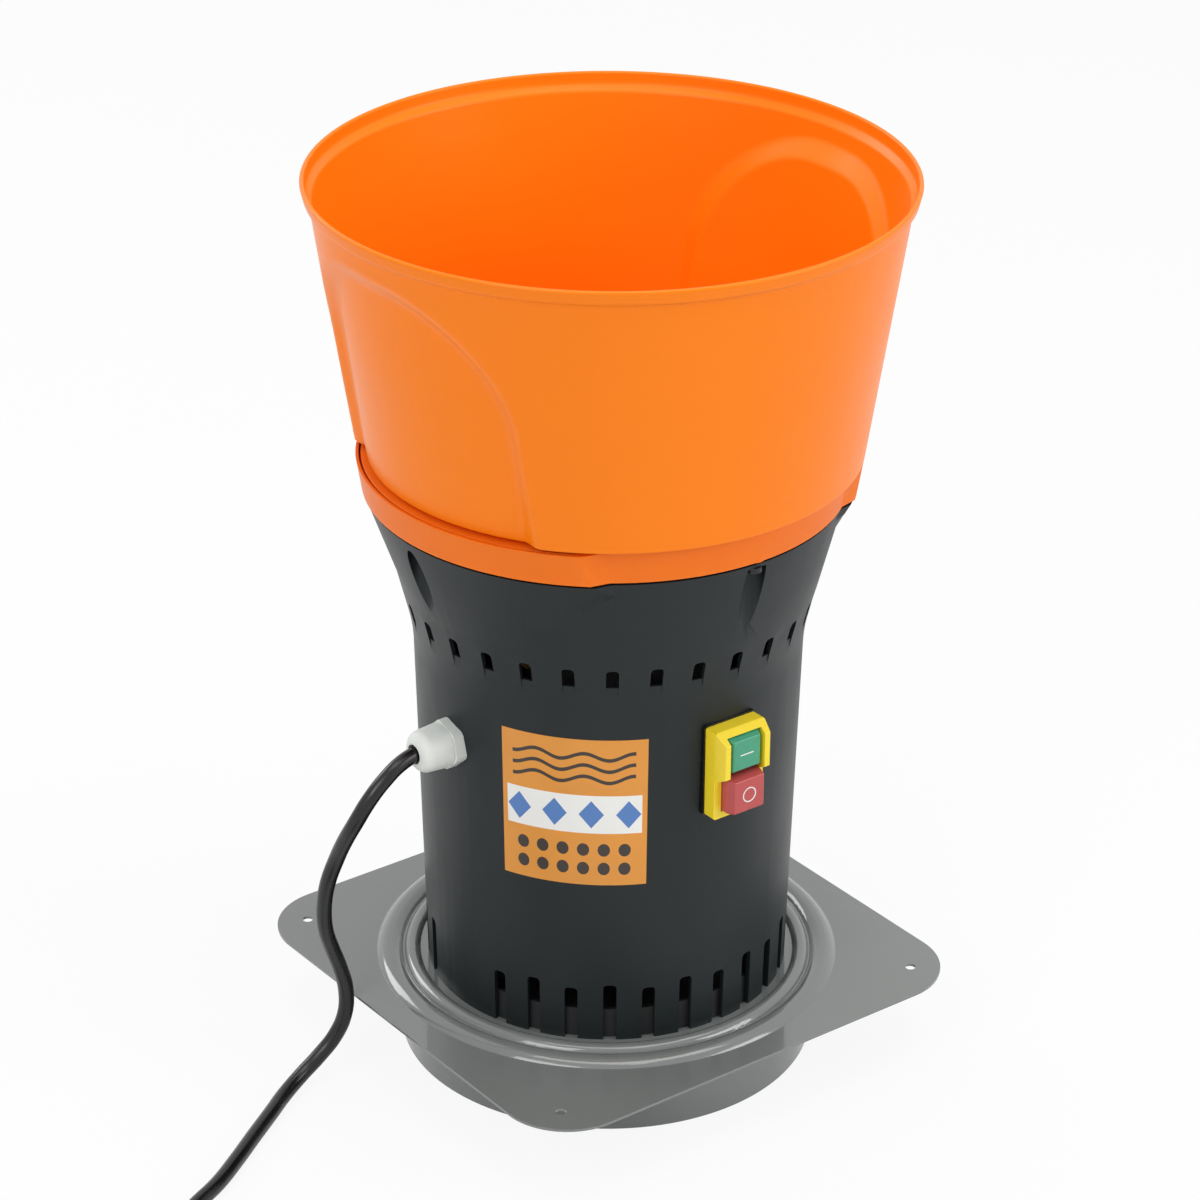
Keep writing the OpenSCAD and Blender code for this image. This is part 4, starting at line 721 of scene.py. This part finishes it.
def soften(names, width_mm, segments=3, clamp=True):
    """Rounds the edges of CAD nodes by modifiers, without a change to their vertices."""
    for name in names:
        node = nodes[name]
        weld = node.modifiers.new("weld", "WELD")
        weld.merge_threshold = SAME_POINT
        flat = node.modifiers.new("whole_faces", "DECIMATE")
        flat.decimate_type = "DISSOLVE"
        flat.angle_limit = FLAT_WITHIN
        bevel = node.modifiers.new("soft_edges", "BEVEL")
        bevel.width = width_mm * MM
        bevel.segments = segments
        bevel.use_clamp_overlap = clamp
        bevel.limit_method = "ANGLE"
        bevel.angle_limit = BEVEL_FROM
        bevel.harden_normals = False
        normals = node.modifiers.new("face_normals", "WEIGHTED_NORMAL")
        normals.keep_sharp = False
        bpy.ops.object.select_all(action="DESELECT")
        node.select_set(True)
        bpy.context.view_layer.objects.active = node
        bpy.ops.object.shade_smooth()


soften(["switch_bezel"], 0.35, clamp=False)
soften(["start_button", "stop_button"], 0.7, clamp=False)
soften(["gland_body", "gland_nut"], 0.14)
soften(["feed_ring"], 0.3)
soften(["body_shell", "base_plate", "chamber_skirt"], 0.3, 2)
print("softened", sum("soft_edges" in node.modifiers for node in nodes.values()))

# %% [markdown]
# ## Marks on the buttons
# The start button carries a white line and the stop button a white ring, moulded into their faces and a
# hair proud of them. Both are thin pieces that ride on their button, so that they move with it when it is
# pressed. The line is a bar with its edges bevelled, and the ring is a small profile taken round by the loft.

# %% Button marks
MARK_T = 0.15 * MM
MARK_LINE = 0.7 * MM
MARK_EDGE = 0.08 * MM
LINE_L = 9 * MM
RING_R = 4.2 * MM
RING_VERTICES = 64
white_mark = finish_material("mark_white", srgb(236, 238, 234), 0.4, 0.05, 60, 900, 0.03)


def button_face(name):
    """Middle of a button's front face."""
    low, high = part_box(name)
    return Vector(((low.x + high.x) / 2, low.y, (low.z + high.z) / 2))


bpy.ops.object.select_all(action="DESELECT")
bpy.ops.mesh.primitive_cube_add(size=1, location=button_face("start_button"))
start_line = bpy.context.object
start_line.name = "start_line"
start_line.scale = (LINE_L, 2 * MARK_T, MARK_LINE)
bpy.ops.object.transform_apply(location=False, rotation=False, scale=True)
bpy.ops.object.mode_set(mode="EDIT")
bpy.ops.mesh.select_all(action="SELECT")
bpy.ops.mesh.bevel(offset=MARK_EDGE, segments=3)
bpy.ops.object.mode_set(mode="OBJECT")
settle(start_line, "start", "start_green", finish=white_mark)

ring_out, ring_in = RING_R + MARK_LINE / 2, RING_R - MARK_LINE / 2
edge_z = MARK_T - MARK_EDGE
ring_profile = [(ring_out, -MARK_T), (ring_out, edge_z)]
ring_profile += arc_points((ring_out - MARK_EDGE, edge_z), MARK_EDGE, 30, 90, 2)
ring_profile += arc_points((ring_in + MARK_EDGE, edge_z), MARK_EDGE, 90, 150, 2)
ring_profile += [(ring_in, edge_z), (ring_in, -MARK_T), (ring_out, -MARK_T)]
stop_ring = loft("stop_ring", [(z, r, r) for r, z in ring_profile], RING_VERTICES, closed_ends=False)
stop_ring.rotation_euler = (math.pi / 2, 0, 0)
stop_ring.location = button_face("stop_button")
settle(stop_ring, "stop", "stop_red", finish=white_mark)
print("marks", start_line.name, stop_ring.name)

# %% [markdown]
# ## The label
# A printed sheet sticks on the front left of the body. It is a grid bent round the tapered wall, a tenth
# of a millimetre thick. Bending the flat grid in code keeps its UV map, on which the print is laid later.

# %% Label sheet
LABEL_FROM, LABEL_TO = math.radians(201), math.radians(244.5)
LABEL_LOW, LABEL_HIGH = 152 * MM, 244 * MM
LABEL_OFF = 0.05 * MM
LABEL_T = 0.12 * MM
BASE_R, NECK_R = 104.1 * MM, 109.9 * MM
BASE_Z, NECK_Z = 49.5 * MM, 265 * MM


def body_radius(z):
    """The body's radius at a height on its straight taper."""
    return BASE_R + (NECK_R - BASE_R) * (z - BASE_Z) / (NECK_Z - BASE_Z)


bpy.ops.object.select_all(action="DESELECT")
bpy.ops.mesh.primitive_grid_add(x_subdivisions=36, y_subdivisions=6, size=2)
label = bpy.context.object
label.name = "label_sheet"
for vertex in label.data.vertices:
    across, up = (vertex.co.x + 1) / 2, (vertex.co.y + 1) / 2
    angle = LABEL_FROM + (LABEL_TO - LABEL_FROM) * across
    z = LABEL_LOW + (LABEL_HIGH - LABEL_LOW) * up
    r = body_radius(z) + LABEL_OFF
    vertex.co = (r * math.cos(angle), r * math.sin(angle), z)
bpy.ops.object.mode_set(mode="EDIT")
bpy.ops.mesh.select_all(action="SELECT")
bpy.ops.mesh.normals_make_consistent(inside=False)
bpy.ops.object.mode_set(mode="OBJECT")
sheet = label.modifiers.new("sheet", "SOLIDIFY")
sheet.thickness = LABEL_T
sheet.offset = 1
bpy.ops.object.modifier_apply(modifier=sheet.name)
print("sheet", len(label.data.polygons), "faces")

# %% [markdown]
# ## The label's print
# The print is a plain pattern in the colours of the picture: waves and grains on orange, and blue lozenges
# on a white band. It needs no picture file. Every shape is a mask that is counted out from the sheet's own
# coordinates: a band lies between two heights, a lozenge is a sum of two distances, and a wave is a height
# that a sine shifts. Colour after colour is then laid over the paper.

# %% Label print
PAPER, DARK = srgb(226, 150, 58), srgb(58, 50, 44)
WHITE, BLUE = srgb(240, 240, 236), srgb(84, 128, 192)
PRINT_U, PRINT_V = (0.035, 0.965), (0.03, 0.97)
DARK_U = (0.08, 0.92)
GRAINS_V, BAND_V, WAVES_V = (0.05, 0.31), (0.36, 0.62), (0.68, 0.93)
BAND_MIDDLE = 0.49
LOZENGES, LOZENGE_SIZE, LOZENGE_SQUASH = 4, 0.34, 3.6
WAVE_PACE, WAVE_HEIGHT, WAVE_ROWS, WAVE_LINE = 19, 0.022, 13, 0.16
GRAIN_COLUMNS, GRAIN_ROWS, GRAIN_SIZE = 6, 2, 0.8
GRAIN_U, GRAIN_V = 9, 7


class Print:
    """Small helper that writes sums of math nodes."""

    def __init__(self, tree):
        self.tree = tree

    def do(self, operation, *values):
        """One math node; each value is a number or another node's output."""
        node = self.tree.nodes.new("ShaderNodeMath")
        node.operation = operation
        for socket, value in zip(node.inputs, values):
            if isinstance(value, (int, float)):
                socket.default_value = value
            else:
                self.tree.links.new(value, socket)
        return node.outputs[0]

    def times(self, a, b):
        """A product, which for two masks is where both hold."""
        return self.do("MULTIPLY", a, b)

    def between(self, value, low, high):
        """Mask of the places between two edges."""
        return self.times(self.do("GREATER_THAN", value, low), self.do("LESS_THAN", value, high))

    def share(self, value, low, high):
        """Place between two edges, from 0 to 1."""
        return self.do("DIVIDE", self.do("SUBTRACT", value, low), high - low)

    def cell(self, value, count):
        """Place within one of count equal cells, from -0.5 to 0.5."""
        return self.do("SUBTRACT", self.do("FRACT", self.times(value, count)), 0.5)

    def paint(self, below, mask, color):
        """Lays a colour over what is below, where the mask holds."""
        mix = self.tree.nodes.new("ShaderNodeMix")
        mix.data_type = "RGBA"
        self.tree.links.new(mask, mix.inputs["Factor"])
        self.tree.links.new(below, mix.inputs["A"])
        mix.inputs["B"].default_value = color
        return mix.outputs["Result"]


label_paint = finish_material("label_paper", PAPER, 0.34, 0.05, 40, 900, 0.03)
label_tree = label_paint.node_tree
uv = label_tree.nodes.new("ShaderNodeUVMap")
split = label_tree.nodes.new("ShaderNodeSeparateXYZ")
label_tree.links.new(uv.outputs["UV"], split.inputs["Vector"])
sheet_u, sheet_v = split.outputs["X"], split.outputs["Y"]
ink = Print(label_tree)

printed = ink.times(ink.between(sheet_u, *PRINT_U), ink.between(sheet_v, *PRINT_V))
band = ink.times(printed, ink.between(sheet_v, *BAND_V))
lozenge_u = ink.do("ABSOLUTE", ink.cell(sheet_u, LOZENGES))
lozenge_v = ink.do("ABSOLUTE", ink.do("SUBTRACT", sheet_v, BAND_MIDDLE))
lozenge_sum = ink.do("ADD", lozenge_u, ink.times(lozenge_v, LOZENGE_SQUASH))
lozenge = ink.do("LESS_THAN", lozenge_sum, LOZENGE_SIZE)
wave_shift = ink.times(ink.do("SINE", ink.times(sheet_u, WAVE_PACE)), WAVE_HEIGHT)
wave_v = ink.do("ADD", sheet_v, wave_shift)
wave_line = ink.do("LESS_THAN", ink.do("ABSOLUTE", ink.cell(wave_v, WAVE_ROWS)), WAVE_LINE)
waves = ink.times(ink.between(wave_v, *WAVES_V), wave_line)
grain_u = ink.cell(ink.share(sheet_u, *DARK_U), GRAIN_COLUMNS)
grain_v = ink.cell(ink.share(sheet_v, *GRAINS_V), GRAIN_ROWS)
grain_sum = ink.do(
    "ADD", ink.times(ink.times(grain_u, grain_u), GRAIN_U), ink.times(ink.times(grain_v, grain_v), GRAIN_V),
)
grains = ink.times(ink.do("LESS_THAN", grain_sum, GRAIN_SIZE), ink.between(sheet_v, *GRAINS_V))

dark_area = ink.times(printed, ink.between(sheet_u, *DARK_U))
print_color = next(link.from_socket for link in label_tree.links if link.to_socket.name == "Base Color")
for mask, color in (
    (ink.times(dark_area, waves), DARK), (ink.times(dark_area, grains), DARK),
    (band, WHITE), (ink.times(band, lozenge), BLUE),
):
    print_color = ink.paint(print_color, mask, color)
label_tree.links.new(print_color, label_tree.nodes["Principled BSDF"].inputs["Base Color"])
settle(label, "mill", "body_black", finish=label_paint)
print("label", [round(x / MM) for x in label.dimensions])
